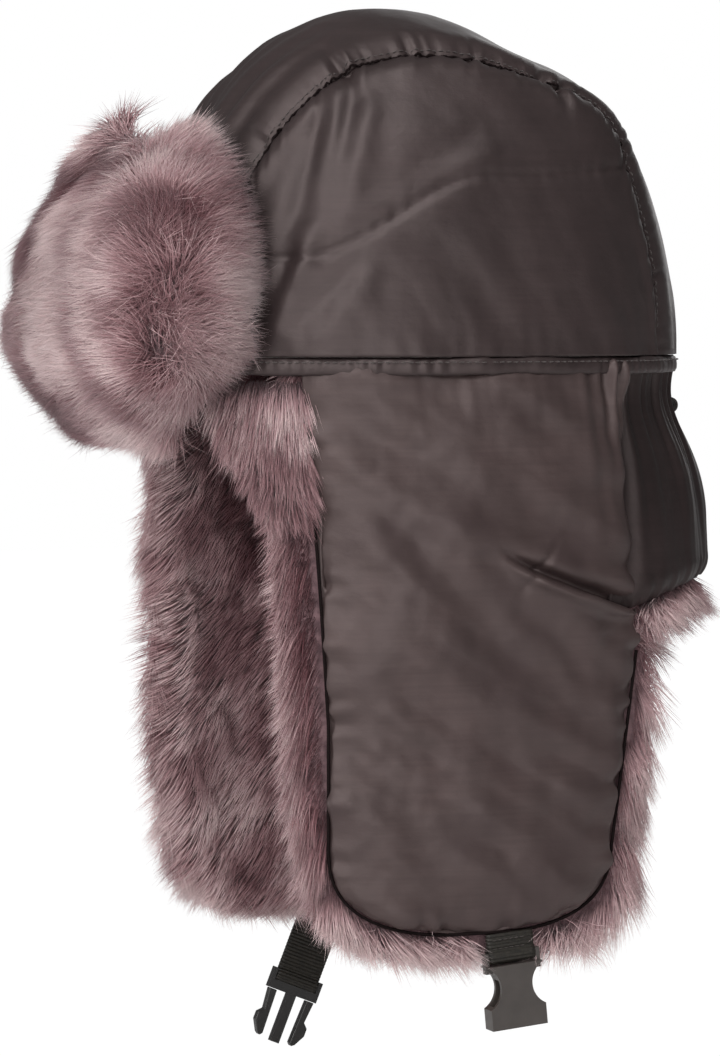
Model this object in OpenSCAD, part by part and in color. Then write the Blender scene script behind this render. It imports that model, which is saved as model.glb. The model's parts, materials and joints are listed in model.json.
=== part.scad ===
// Trapper hat: padded three-panel crown, fur brim folded up in front, two long ear flaps
// and a short nape curtain, with a side-release buckle on webbing under the flaps.
// Millimetres. The origin is the middle of the head opening on the bottom plane of the hem band.
// -Y is the front of the hat, +X is the wearer's left and +Z is up.

/* [Crown] */
// Half width of the crown at the hem band
crown_half_w = 93; // [88:1:98]
// Half depth of the crown at the hem band
crown_half_d = 112; // [107:1:117]
// Height of the crown
crown_h = 153; // [146:1:160]
// Squareness of the crown, where 2 is an ellipsoid
crown_power = 2.3; // [2.2:0.05:2.4]
// Half width of the centre panel over the top
centre_half_w = 55.5; // [52:0.5:58]
// How much the centre panel widens from the top to the back
centre_widening = 11.5; // [8:0.5:12]
// Height of the hem band
band_h = 7; // [6:0.5:8]

/* [Layers] */
// Thickness of the shell cloth with its facing
shell_t = 1.6; // [1.2:0.1:1.8]
// Thickness of the batting
batting_t = 5.6; // [4:0.1:6]
// Thickness of the quilted crown lining
lining_t = 2.4; // [2:0.1:2.6]
// Thickness of the fur lining of the flaps and nape, pile included
fur_t = 17; // [14:1:18]

/* [Ear flaps] */
// Front edge of the flap shell at the hem
flap_front = 72; // [68:1:74]
// Rear edge of the flap shell just below the nape
flap_rear = 67; // [65:1:70]
// Length of the flap shell below the hem band
flap_len = 222; // [216:1:226]
// How far the fur stands out round the edge of the shell
fur_rim = 15; // [12:1:16]
// How far the right flap hangs forward of the mirrored left one
right_sway = 10; // [0:1:12]

/* [Nape] */
// Depth of the nape shell at the centre of the back
nape_len = 84; // [78:1:88]
// How far the nape flares outwards
nape_flare = 13; // [10:1:14]

/* [Brim] */
// Half width of the folded brim
brim_half_w = 66; // [63:1:70]
// Top of the brim fur above the hem plane
brim_top = 104; // [98:1:108]
// Fold line below the hem plane
brim_fold_drop = 12; // [11:0.5:13]
// Thickness of the brim fur at the middle, pile included
brim_fur_t = 50; // [44:1:52]

/* [Straps and buckle] */
// Width of the webbing
web_w = 20; // [19:0.1:20.4]
// Thickness of one layer of webbing
web_t = 1.3; // [1.1:0.1:1.4]
// Lean of the left strap in its own plane
left_lean = 5.5; // [3:0.5:8]
// Lean of the right strap in its own plane
right_lean = -22; // [-26:1:-18]
// Length of the left strap down to its buckle bar
left_drop = 11; // [10:0.5:14]
// Length of the right strap down to its buckle bar
right_drop = 44; // [36:1:48]
// Thickness of the buckle
buckle_t = 8; // [7:0.5:8.5]

/* [Hanging loop] */
// Radius of the eye in the loop
loop_eye_r = 2.2; // [2:0.1:2.4]
// Width of the loop tape
loop_w = 8; // [7:0.5:10]

/* [Hidden] */

SHELL = "#584e4c";
FUR = "#a08a8a";
WEB = "#2c2824";
PLASTIC = "#46433f";
PADDING = "#d8d2cb";

// Clear gap between one layer and the next
gap = 0.5;
// Half of the gap between two crown panels at a seam
seam_gap = 0.3;
// Where each layer starts, measured in from the outer face of the shell
batting_in = shell_t + gap;
lining_in = batting_in + batting_t + gap;
fur_in = batting_in + batting_t + gap;
// Bottom edge of the crown panels, just above the hem band
panel_hem = band_h + gap;

function sgn_pow(v, e) = sign(v) * pow(abs(v), e);
function mix(a, b, t) = a + (b - a) * t;
function ease(t) = let (c = min(1, max(0, t))) c * c * (3 - 2 * c);
function steps(a, b, n) = [for (i = [0 : n]) mix(a, b, i / n)];

// A closed solid between two point grids of the same size. Seen from outside, the outer
// grid's columns turn anticlockwise into its rows.
module slab(outer, inner) {
    cols = len(outer[0]);
    last_r = len(outer) - 1;
    last_c = cols - 1;
    n = len(outer) * cols;
    points = [for (grid = [outer, inner]) for (row = grid) for (p = row) p];
    skin = [for (r = [0 : last_r - 1]) for (c = [0 : last_c - 1])
        let (a = r * cols + c, b = a + 1, d = a + cols, e = d + 1)
        each [[a, e, b], [a, d, e], [a + n, b + n, e + n], [a + n, e + n, d + n]]];
    ends = [for (c = [0 : last_c - 1])
        let (a = c, b = c + 1, d = last_r * cols + c, e = d + 1)
        each [[a, b, b + n], [a, b + n, a + n], [e, d, d + n], [e, d + n, e + n]]];
    sides = [for (r = [0 : last_r - 1])
        let (a = r * cols, d = a + cols, b = a + last_c, e = d + last_c)
        each [[d, a, a + n], [d, a + n, d + n], [b, e, e + n], [b, e + n, b + n]]];
    polyhedron(points = points, faces = concat(skin, ends, sides));
}

// ---- Crown ----

// Half width of the centre panel, from -1 at the front hem over the top to 1 at the back hem
function seam_x(s) = centre_half_w + centre_widening * s;

// A point of the crown's outer face, at side position x and s along the panel
function crown_pt(s, x) =
    let (k = pow(1 - pow(abs(x) / crown_half_w, crown_power), 1 / crown_power),
        t = s * acos(pow(panel_hem / (k * crown_h), crown_power / 2)))
    [x, k * crown_half_d * sgn_pow(sin(t), 2 / crown_power),
        k * crown_h * pow(cos(t), 2 / crown_power)];

// The same point on a layer that lies t inside the outer face
function crown_in(p, t) = [p.x * (1 - t / crown_half_w), p.y * (1 - t / crown_half_d),
    p.z * (1 - t / crown_h)];

// A point moved straight out from the origin until it lies on the crown
function on_crown(p) = p / pow(pow(abs(p.x) / crown_half_w, crown_power)
    + pow(abs(p.y) / crown_half_d, crown_power) + pow(abs(p.z) / crown_h, crown_power),
    1 / crown_power);

// Last position along the seam before the hem that both panels share
seam_end = 0.985;
seam_rows = steps(-seam_end, seam_end, 16);

function centre_grid(t) = [for (s = concat([-1], seam_rows, [1]))
    [for (v = steps(-1, 1, 8)) crown_in(crown_pt(s, v * (seam_x(s) - seam_gap)), t)]];

// The hem of a side panel, on the plane of the panels' bottom edge
hem_k = pow(1 - pow(panel_hem / crown_h, crown_power), 1 / crown_power);
function hem_angle(s) = acos(pow((seam_x(s) + seam_gap) / (crown_half_w * hem_k),
    crown_power / 2));
function hem_pt(s) =
    let (a = mix(-hem_angle(-1), hem_angle(1), (s / seam_end + 1) / 2))
    [crown_half_w * hem_k * pow(cos(a), 2 / crown_power),
        crown_half_d * hem_k * sgn_pow(sin(a), 2 / crown_power), panel_hem];

function side_grid(t) = [for (s = seam_rows)
    [for (v = steps(0, 1, 7))
        crown_in(on_crown(mix(crown_pt(s, seam_x(s) + seam_gap), hem_pt(s), v)), t)]];

module centre_layer(from, thick) slab(centre_grid(from), centre_grid(from + thick));
module side_layer(from, thick) slab(side_grid(from), side_grid(from + thick));

module crown_layer(from, thick) {
    centre_layer(from, thick);
    side_layer(from, thick);
    mirror([1, 0, 0]) side_layer(from, thick);
}

module crown_centre_panel() color(SHELL) centre_layer(0, shell_t);
module crown_left_panel() color(SHELL) side_layer(0, shell_t);
module crown_right_panel() color(SHELL) mirror([1, 0, 0]) side_layer(0, shell_t);
module crown_batting() color(PADDING) crown_layer(batting_in, batting_t);
module crown_lining() color(SHELL) crown_layer(lining_in, lining_t);

// Rounded oval of the head opening, grown by g
function opening(g) = [for (a = [0 : 5 : 355])
    [(crown_half_w + g) * sgn_pow(cos(a), 2 / crown_power),
        (crown_half_d + g) * sgn_pow(sin(a), 2 / crown_power)]];

module hem_band() color(SHELL) linear_extrude(band_h) difference() {
    polygon(opening(1.2));
    polygon(opening(-shell_t));
}

// ---- Curtain: ear flaps and nape hang from the same oval ----

curtain_top = -3;
// The oval gets squarer and, behind, deeper on the way down
function curtain_power(z) = crown_power + 0.7 * ease(-z / 120);
function curtain_d(z) = crown_half_d + 4 * ease(-z / 60);
function curtain_back(z) = crown_half_d + nape_flare * ease(-z / 60);

// A point of the curtain's outer face at angle a, where 0 is the left side and 90 the back
function curtain_oval(a, z) =
    let (e = 2 / curtain_power(z), d = sin(a) > 0 ? curtain_back(z) : curtain_d(z))
    [crown_half_w * sgn_pow(cos(a), e), d * sgn_pow(sin(a), e), z];

// The same point moved t inwards, square to the oval
function curtain_in(a, z, t) =
    let (p = curtain_oval(a, z), d = curtain_oval(a + 0.5, z) - curtain_oval(a - 0.5, z))
    p - t * [d.y, -d.x, 0] / norm(d);

// Angle at which the oval passes the front to back position y
function angle_at(y, z) =
    let (d = y > 0 ? curtain_back(z) : curtain_d(z))
    asin(sgn_pow(y / d, curtain_power(z) / 2));

// Rear limit of the flap beside the nape, and the nape's own edge behind it
split_y = 62;
nape_edge_y = 64;
// How far the nape hangs lower at its corners than at the centre of the back
corner_drop = 15;
// Lower round end of a flap: its share of the flap's length and its squareness
round_h = 34;
round_power = 2.6;
round_end = 0.985;

// Rows of a flap from the top, past the nape's corner at z = ledge, to the round end
function flap_rows(ledge, bottom, curve) = concat(steps(curtain_top, ledge + 2, 3),
    steps(ledge, bottom + curve, 3),
    [for (a = [25 : 15 : 70]) mix(bottom + curve, bottom, sin(a))],
    [mix(bottom + curve, bottom, round_end)]);

// Share of the full half width that is left at height z
function round_share(z, bottom, curve) =
    let (v = max(0, (bottom + curve - z) / curve))
    pow(1 - pow(v, round_power), 1 / round_power);

// One layer of a flap. Its edges are rim further out than the shell's, and more at the
// rear, where the pile curls out. sway swings it forward below the hem.
function flap_grid(rim, ledge, sway, t) =
    let (bottom = -flap_len - rim * 0.85, curve = round_h + max(0, rim) * 0.8)
    [for (z = flap_rows(ledge, bottom, curve))
        let (front = -mix(flap_front, flap_front - 8, min(1, -z / 140)) - rim
                - sway * ease(-z / 60),
            rear = z > ledge ? split_y
                : mix(flap_rear, flap_rear - 14, min(1, (ledge - z) / 90)) + rim * 1.4
                - sway * ease((ledge - z) / 60),
            mid = (front + rear) / 2,
            half = (rear - front) / 2 * round_share(z, bottom, curve))
        [for (v = steps(1, -1, 10)) curtain_in(angle_at(mid + v * half, z), z, t)]];

shell_ledge = -nape_len - corner_drop - 4;
fur_ledge = shell_ledge - 10;
batting_rim = -3;

module flap_layer(rim, ledge, sway, from, thick) slab(flap_grid(rim, ledge, sway, from),
    flap_grid(rim, ledge, sway, from + thick));
module flap_shell(sway) flap_layer(0, shell_ledge, sway, 0, shell_t);
module flap_batting(sway) flap_layer(batting_rim, shell_ledge, sway, batting_in, batting_t);
module flap_fur(sway) flap_layer(fur_rim, fur_ledge, sway, fur_in, fur_t);

module left_flap_shell() color(SHELL) flap_shell(0);
module left_flap_batting() color(PADDING) flap_batting(0);
module left_flap_fur() color(FUR) flap_fur(0);
module right_flap_shell() color(SHELL) mirror([1, 0, 0]) flap_shell(right_sway);
module right_flap_batting() color(PADDING) mirror([1, 0, 0]) flap_batting(right_sway);
module right_flap_fur() color(FUR) mirror([1, 0, 0]) flap_fur(right_sway);

// One layer of the nape from height top down to drop below the hem at the centre back
function nape_grid(top, drop, t) = [for (v = steps(0, 1, 5))
    [for (u = steps(-1, 1, 14))
        let (z = mix(top, -drop - corner_drop * pow(abs(u), 3), v),
            a = 90 - u * (90 - angle_at(nape_edge_y, z)))
        curtain_in(a, z, t)]];

module nape_layer(top, drop, from, thick) slab(nape_grid(top, drop, from),
    nape_grid(top, drop, from + thick));

// Gathering elastic just below the hem, and the batting that starts under it
elastic_t = 1;
elastic_w = 10;
elastic_top = curtain_top - 3;
nape_batting_top = elastic_top - elastic_w - 2;
elastic_rows = [elastic_top, elastic_top - elastic_w];

function elastic_grid(t) = [for (z = elastic_rows)
    [for (a = steps(140, 40, 14)) curtain_in(a, z, t)]];

module nape_shell() color(SHELL) nape_layer(curtain_top, nape_len, 0, shell_t);
module nape_elastic() color(PADDING) slab(elastic_grid(batting_in),
    elastic_grid(batting_in + elastic_t));
module nape_batting() color(PADDING) nape_layer(nape_batting_top, nape_len - 3, batting_in,
    batting_t);
module nape_fur() color(FUR) nape_layer(curtain_top - 2, nape_len + 10, fur_in, fur_t);

// ---- Hanging loop: a folded tape on the centre of the back ----

loop_t = 1.3;
loop_z = -15;
loop_y = crown_half_d + nape_flare * ease(0.4) + loop_t + loop_eye_r + 0.6;

module hanger_loop() color(WEB) translate([-loop_w / 2, loop_y, loop_z]) rotate([0, 90, 0])
    difference() {
        union() {
            cylinder(r = loop_eye_r + loop_t, h = loop_w, $fn = 48);
            translate([-7, -loop_eye_r - loop_t, 0]) cube([14, loop_t, loop_w]);
        }
        translate([0, 0, -1]) cylinder(r = loop_eye_r, h = loop_w + 2, $fn = 48);
    }

// ---- Brim, folded up in front of the crown ----

brim_gap = 3.5;
brim_cloth_t = 1.2;
brim_stiff_in = brim_gap + brim_cloth_t + gap;
brim_fur_in = brim_stiff_in + brim_cloth_t + 2 * gap;
brim_roll = 18;
brim_power = 4;

// Share of the full half width of the brim at height z: full in the middle, round above
// and drawn in below the hem
function brim_share(z, top) =
    z > 0 ? pow(1 - pow(z / (top + 6), brim_power), 1 / brim_power)
        : 1 - 0.42 * ease(-z / (brim_fold_drop + brim_roll));

// A point at angle a round the front, out by t from the head opening
function front_pt(a, z, t) =
    let (e = 2 / crown_power,
        p = [crown_half_w * sgn_pow(cos(a), e), crown_half_d * sgn_pow(sin(a), e), z],
        q = [crown_half_w * sgn_pow(cos(a + 0.5), e), crown_half_d * sgn_pow(sin(a + 0.5), e), z],
        d = q - p)
    p + t * [d.y, -d.x, 0] / norm(d);

// Angle, seen from above, from which the brim starts at height z
function brim_angle(z, top, half_w) =
    acos(pow(half_w * brim_share(z, top) / crown_half_w, crown_power / 2));

// Outward depth of the fur at side share u and height z, with a slow taper to the top
function fur_depth(u, z, bottom, top) =
    let (v = (z - bottom) / (top - bottom) * 2 - 1,
        side = 1 - 0.5 * pow(abs(u), 3),
        ends = v > 0 ? pow(max(0, 1 - pow(v, 2.3)), 1.1) : pow(max(0, 1 - pow(-v, 3)), 0.6))
    3 + (brim_fur_t - 3) * side * ends;

brim_bottom = -brim_fold_drop - brim_roll;

function brim_grid(rows, top, half_w, depth) = [for (z = rows)
    let (a0 = brim_angle(z, top, half_w))
    [for (u = steps(1, -1, 12))
        front_pt(-90 + u * (90 - a0), z, depth > 0 ? depth
            : brim_fur_in + fur_depth(u, z, brim_bottom, brim_top))]];

fur_rows = [for (a = [90 : -15 : -90]) mix(brim_bottom, brim_top, (1 + sin(a)) / 2)];
cloth_rows = steps(brim_top - 10, 0, 4);

module brim_fur() color(FUR) slab(brim_grid(fur_rows, brim_top, brim_half_w, 0),
    brim_grid(fur_rows, brim_top, brim_half_w, brim_fur_in));
module brim_cloth(from) slab(
    brim_grid(cloth_rows, brim_top - 10, brim_half_w - 5, from + brim_cloth_t),
    brim_grid(cloth_rows, brim_top - 10, brim_half_w - 5, from));
module brim_stiffener() color(PADDING) brim_cloth(brim_stiff_in);
module brim_backing() color(SHELL) brim_cloth(brim_gap);

// ---- Straps and buckle. A strap hangs down from z = 0, and a buckle half from its bar ----

strap_x = crown_half_w - 3.6;
strap_top_z = -flap_len - 1.5;
// The right strap leans more, so it starts lower and its corner clears the shell
right_strap_z = strap_top_z - 4;
left_strap_y = 9.4;
right_strap_y = 0.4;
bar_r = 1.5;
bar_clear = 0.08;
loop_r = bar_r + bar_clear + web_t;
frame_w = 24;
frame_t = 3.4;
arm_w = 1.8;
cross_z = -loop_r - 0.5;

module along_y(r, w) rotate([90, 0, 0]) cylinder(r = r, h = w, center = true, $fn = 48);
module slab_box(y0, y1, z0, z1, t) translate([-t / 2, y0, z0]) cube([t, y1 - y0, z1 - z0]);
module place_left(drop) translate([strap_x, left_strap_y, strap_top_z])
    rotate([left_lean, 0, 0]) translate([0, 0, -drop]) children();
module place_right(drop) translate([-strap_x, right_strap_y, right_strap_z])
    rotate([right_lean, 0, 0]) translate([0, 0, -drop]) children();

module strap(drop) difference() {
    union() {
        slab_box(-web_w / 2, web_w / 2, -drop, 0, 2 * web_t);
        translate([0, 0, -drop]) along_y(loop_r, web_w);
    }
    translate([0, 0, -drop]) along_y(bar_r + bar_clear, web_w + 2);
}

module left_strap() color(WEB) place_left(0) strap(left_drop);
module right_strap() color(WEB) place_right(0) strap(right_drop);

// Bar, two arms and the cross member that hold the webbing
module webbing_frame(cross_h) {
    along_y(bar_r, frame_w - 2);
    for (s = [-1, 1]) translate([0, s * (frame_w - arm_w) / 2, 0])
        slab_box(-arm_w / 2, arm_w / 2, cross_z - 1, bar_r + 0.3, frame_t);
    slab_box(-frame_w / 2, frame_w / 2, cross_z - cross_h, cross_z, frame_t);
}

socket_len = 26;
socket_wall = 1.7;
waist_r = 9.5;
waist_half = 6.8;

module socket_body() difference() {
    translate([-buckle_t / 2, 0, 0]) rotate([90, 0, 90]) linear_extrude(buckle_t)
        difference() {
            translate([-frame_w / 2, cross_z - socket_len]) square([frame_w, socket_len]);
            for (s = [-1, 1])
                translate([s * (waist_half + waist_r), cross_z - socket_len / 2 + 4])
                    circle(r = waist_r, $fn = 64);
        }
    slab_box(-frame_w / 2 + socket_wall, frame_w / 2 - socket_wall, cross_z - socket_len - 1,
        cross_z - 6, buckle_t - 2 * socket_wall);
}

module buckle_socket() color(PLASTIC) place_left(left_drop) union() {
    webbing_frame(3);
    socket_body();
}

plug_t = 3.8;
plug_root = cross_z - 4;
guide_len = 22;
prong_len = 21;
prong_y = 9;
prong_gap = 0.25;

module buckle_plug() color(PLASTIC) place_right(right_drop) union() {
    webbing_frame(4);
    slab_box(-2, 2, plug_root - guide_len, plug_root, plug_t);
}

// One springy arm with its barb, on the +Y side of the plug
module prong() translate([-plug_t / 2, 0, plug_root - prong_gap]) rotate([90, 0, 90])
    linear_extrude(plug_t) polygon([[prong_y - 1.5, 0], [prong_y + 2, 0],
        [prong_y + 1, -prong_len * 0.45], [prong_y + 3.2, -prong_len * 0.55],
        [prong_y + 3.2, -prong_len * 0.72], [prong_y + 0.4, -prong_len + 1],
        [prong_y - 1, -prong_len], [prong_y - 2.2, -prong_len + 1.2],
        [prong_y - 1.8, -prong_len * 0.5]]);

module buckle_prong_rear() color(PLASTIC) place_right(right_drop) prong();
module buckle_prong_front() color(PLASTIC) place_right(right_drop) mirror([0, 1, 0]) prong();

crown_centre_panel();
crown_left_panel();
crown_right_panel();
crown_batting();
crown_lining();
hem_band();
nape_shell();
nape_batting();
nape_elastic();
nape_fur();
hanger_loop();
brim_fur();
brim_stiffener();
brim_backing();
left_flap_shell();
left_flap_batting();
left_flap_fur();
right_flap_shell();
right_flap_batting();
right_flap_fur();
left_strap();
right_strap();
buckle_socket();
buckle_plug();
buckle_prong_front();
buckle_prong_rear();
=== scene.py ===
import json
import math

import bmesh
import bpy
import numpy as np
from mathutils import Matrix, Vector, noise
from mathutils.kdtree import KDTree


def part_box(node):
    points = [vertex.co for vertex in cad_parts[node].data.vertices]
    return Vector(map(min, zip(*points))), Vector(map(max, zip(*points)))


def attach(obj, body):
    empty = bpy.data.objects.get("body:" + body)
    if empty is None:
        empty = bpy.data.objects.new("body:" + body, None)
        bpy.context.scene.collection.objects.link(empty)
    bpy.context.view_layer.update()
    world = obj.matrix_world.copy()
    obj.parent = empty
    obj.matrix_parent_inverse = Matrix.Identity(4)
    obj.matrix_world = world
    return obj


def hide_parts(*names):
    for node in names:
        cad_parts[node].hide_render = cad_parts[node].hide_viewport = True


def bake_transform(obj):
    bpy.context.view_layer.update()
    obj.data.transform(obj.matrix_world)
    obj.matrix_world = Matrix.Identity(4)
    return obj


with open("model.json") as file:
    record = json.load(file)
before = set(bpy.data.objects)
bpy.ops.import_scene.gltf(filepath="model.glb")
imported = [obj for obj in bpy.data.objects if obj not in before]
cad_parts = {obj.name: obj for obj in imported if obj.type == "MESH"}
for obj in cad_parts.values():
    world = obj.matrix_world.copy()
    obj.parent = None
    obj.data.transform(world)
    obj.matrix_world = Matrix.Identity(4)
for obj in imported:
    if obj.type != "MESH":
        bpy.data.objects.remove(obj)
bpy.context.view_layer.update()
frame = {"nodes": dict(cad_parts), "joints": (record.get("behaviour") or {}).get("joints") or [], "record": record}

MM = 0.001
RNG_SEED = 11

# ---- Sizes, some worked out from the frame and some given ----

BAND_PROUD = 1.2 * MM
band_lo, band_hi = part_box("hem_band")
CROWN_A = band_hi.x - BAND_PROUD
CROWN_D = band_hi.y - BAND_PROUD
BAND_H = band_hi.z
CROWN_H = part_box("crown_batting")[1].z + 2.1 * MM
CROWN_P = 2.3
SEAM_TOP = 55.5 * MM
SEAM_WIDEN = 11.5 * MM
PANEL_HEM = BAND_H + 0.5 * MM

BRIM_LO, BRIM_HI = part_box("brim_fur")
NAPE_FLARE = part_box("nape_shell")[1].y - CROWN_D
FLAP_LEN = -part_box("left_flap_shell")[0].z
SPLIT_Y = 62 * MM
FUR_T = 17 * MM
UP = np.array([0, 0, 1.0])
SIDES = ((1, "left"), (-1, "right"))
JOINTS = {j["name"]: j for j in frame["joints"]}


# ---- Small maths helpers on numpy arrays ----

def spow(v, e):
    return np.sign(v) * np.abs(v) ** e


def mix(a, b, t):
    return a + (b - a) * t


def ease(t):
    c = np.clip(t, 0, 1)
    return c * c * (3 - 2 * c)


def unit(v):
    return v / np.maximum(np.linalg.norm(v, axis=-1, keepdims=True), 1e-12)


def bump(d, w):
    return np.exp(-(d / w) ** 2)


def hill(x, middle, width):
    """A smooth bump of height 1 round the middle; middle and width in mm."""
    return bump(x - middle * MM, width * MM)


def rise(x, start, end):
    """Goes smoothly from 0 at start to 1 at end, both in mm."""
    return ease((x - start * MM) / ((end - start) * MM))


def vec(*values):
    return np.array(values)


def xyz(*parts):
    """Points or vectors from their x, y and z, each an array or one number."""
    return np.stack(np.broadcast_arrays(*parts), -1)


def spans(top, bottom, rows, first, last, cols):
    """Two grids: values from top to bottom down the rows and from first to last along them."""
    return np.meshgrid(np.linspace(top, bottom, rows), np.linspace(first, last, cols), indexing="ij")


def rough(points, size, seed=0.0):
    """Smooth noise from -1 to 1 at each point; size is its grain in mm."""
    flat = points.reshape(-1, 3) / (size * MM) + seed
    out = np.array([noise.fractal(Vector(p), 0.6, 2.0, 2) for p in flat])
    return out.reshape(points.shape[:-1])


def wave(x, seed, waves=5, spread=0.5):
    """Sum of a few sines of nearby wavelengths; x counts whole waves. About -1 to 1."""
    rng = np.random.default_rng(seed)
    total = 0
    for _ in range(waves):
        total = total + np.sin(2 * np.pi * (x * rng.uniform(1 - spread, 1 + spread) + rng.random()))
    return total / waves ** 0.5 / 1.2


def grid_normals(grid, towards):
    """Normals of a grid of points, all on the side that the vectors towards point to."""
    n = unit(np.cross(np.gradient(grid, axis=1), np.gradient(grid, axis=0)))
    return n if (n * towards).sum(-1).mean() > 0 else -n


def run_lengths(path):
    """Distance of each point of a path from its start, measured along it."""
    return np.concatenate([[0], np.cumsum(np.linalg.norm(np.diff(path, axis=0), axis=1))])


def at_length(d, dist, path):
    return np.stack([np.interp(d, dist, column) for column in path.T], -1)


def keep(mask, *arrays):
    return [array[mask] for array in arrays]


# ---- Meshes from arrays ----

def add_object(name, data):
    obj = bpy.data.objects.new(name, data)
    bpy.context.scene.collection.objects.link(obj)
    return obj


def shade(mesh, smooth=True):
    mesh.polygons.foreach_set("use_smooth", [smooth] * len(mesh.polygons))


def add_mesh(name, verts, faces):
    """A smooth-shaded mesh object with every face turned outwards."""
    mesh = bpy.data.meshes.new(name)
    mesh.from_pydata(np.asarray(verts).reshape(-1, 3).tolist(), [], [list(map(int, f)) for f in faces])
    mesh.update()
    shade(mesh)
    bm = bmesh.new()
    bm.from_mesh(mesh)
    bmesh.ops.recalc_face_normals(bm, faces=bm.faces)
    bm.to_mesh(mesh)
    bm.free()
    return add_object(name, mesh)


def grid_faces(rows, cols, start=0, flip=False):
    faces = []
    for r in range(rows - 1):
        for a in range(start + r * cols, start + (r + 1) * cols - 1):
            quad = (a, a + 1, a + cols + 1, a + cols)
            faces.append((quad[0], *quad[:0:-1]) if flip else quad)
    return faces


def ring_faces(rows, ring, start=0, wrap=False):
    """Side faces of rows of closed rings; wrap joins the last row to the first."""
    faces = []
    for r in range(rows if wrap else rows - 1):
        low, top = start + r * ring, start + (r + 1) % rows * ring
        for k in range(ring):
            j = (k + 1) % ring
            faces.append((low + k, low + j, top + j, top + k))
    return faces


def ring_caps(rows, ring, start=0):
    last = start + (rows - 1) * ring
    return [tuple(reversed(range(start, start + ring))), tuple(range(last, last + ring))]


def slab_mesh(name, outer, inner):
    """A closed solid between two grids of the same size."""
    rows, cols = outer.shape[:2]
    n = rows * cols
    faces = grid_faces(rows, cols) + grid_faces(rows, cols, n, flip=True)
    rim = [(0, c) for c in range(cols - 1)] + [(r, cols - 1) for r in range(rows - 1)]
    rim += [(rows - 1, c) for c in range(cols - 1, 0, -1)] + [(r, 0) for r in range(rows - 1, 0, -1)]
    ids = [r * cols + c for r, c in rim]
    faces += [(b, a, a + n, b + n) for a, b in zip(ids, ids[1:] + ids[:1])]
    return add_mesh(name, np.concatenate([outer.reshape(-1, 3), inner.reshape(-1, 3)]), faces)


def read_vectors(source, key):
    out = np.zeros(len(source) * 3)
    source.foreach_get(key, out)
    return out.reshape(-1, 3)


def get_co(obj):
    return read_vectors(obj.data.vertices, "co")


def set_co(obj, co):
    obj.data.vertices.foreach_set("co", co.astype(np.float32).ravel())
    obj.data.update()


def apply_modifiers(obj):
    dg = bpy.context.evaluated_depsgraph_get()
    mesh = bpy.data.meshes.new_from_object(obj.evaluated_get(dg))
    obj.modifiers.clear()
    obj.data = mesh
    shade(mesh)


def subdivide(obj, levels):
    mod = obj.modifiers.new("sub", "SUBSURF")
    mod.levels = mod.render_levels = levels
    apply_modifiers(obj)


def remesh(obj, size):
    mod = obj.modifiers.new("remesh", "REMESH")
    mod.mode = "VOXEL"
    mod.voxel_size = size
    apply_modifiers(obj)


def inflate(obj, cap):
    """Swells a closed pad with the cloth solver; no point travels further than cap."""
    start, frames = get_co(obj), 20
    mod = obj.modifiers.new("cloth", "CLOTH")
    for key, value in (("quality", 5), ("mass", 0.15), ("tension_stiffness", 12),
                       ("compression_stiffness", 12), ("bending_stiffness", 0.4),
                       ("use_pressure", True), ("uniform_pressure_force", 4.0)):
        setattr(mod.settings, key, value)
    mod.settings.effector_weights.gravity = 0
    mod.collision_settings.use_collision = False
    mod.point_cache.frame_start, mod.point_cache.frame_end = 1, frames
    for f in range(1, frames + 1):
        bpy.context.scene.frame_set(f)
    apply_modifiers(obj)
    bpy.context.scene.frame_set(1)
    move = get_co(obj) - start
    length = np.linalg.norm(move, axis=1, keepdims=True)
    set_co(obj, start + move * np.minimum(1, cap / np.maximum(length, 1e-9)))


# ---- Node materials ----

def srgb(*levels):
    return tuple(c / 12.92 if c <= 0.04045 else ((c + 0.055) / 1.055) ** 2.4
                 for c in (level / 255 for level in levels))


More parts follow.
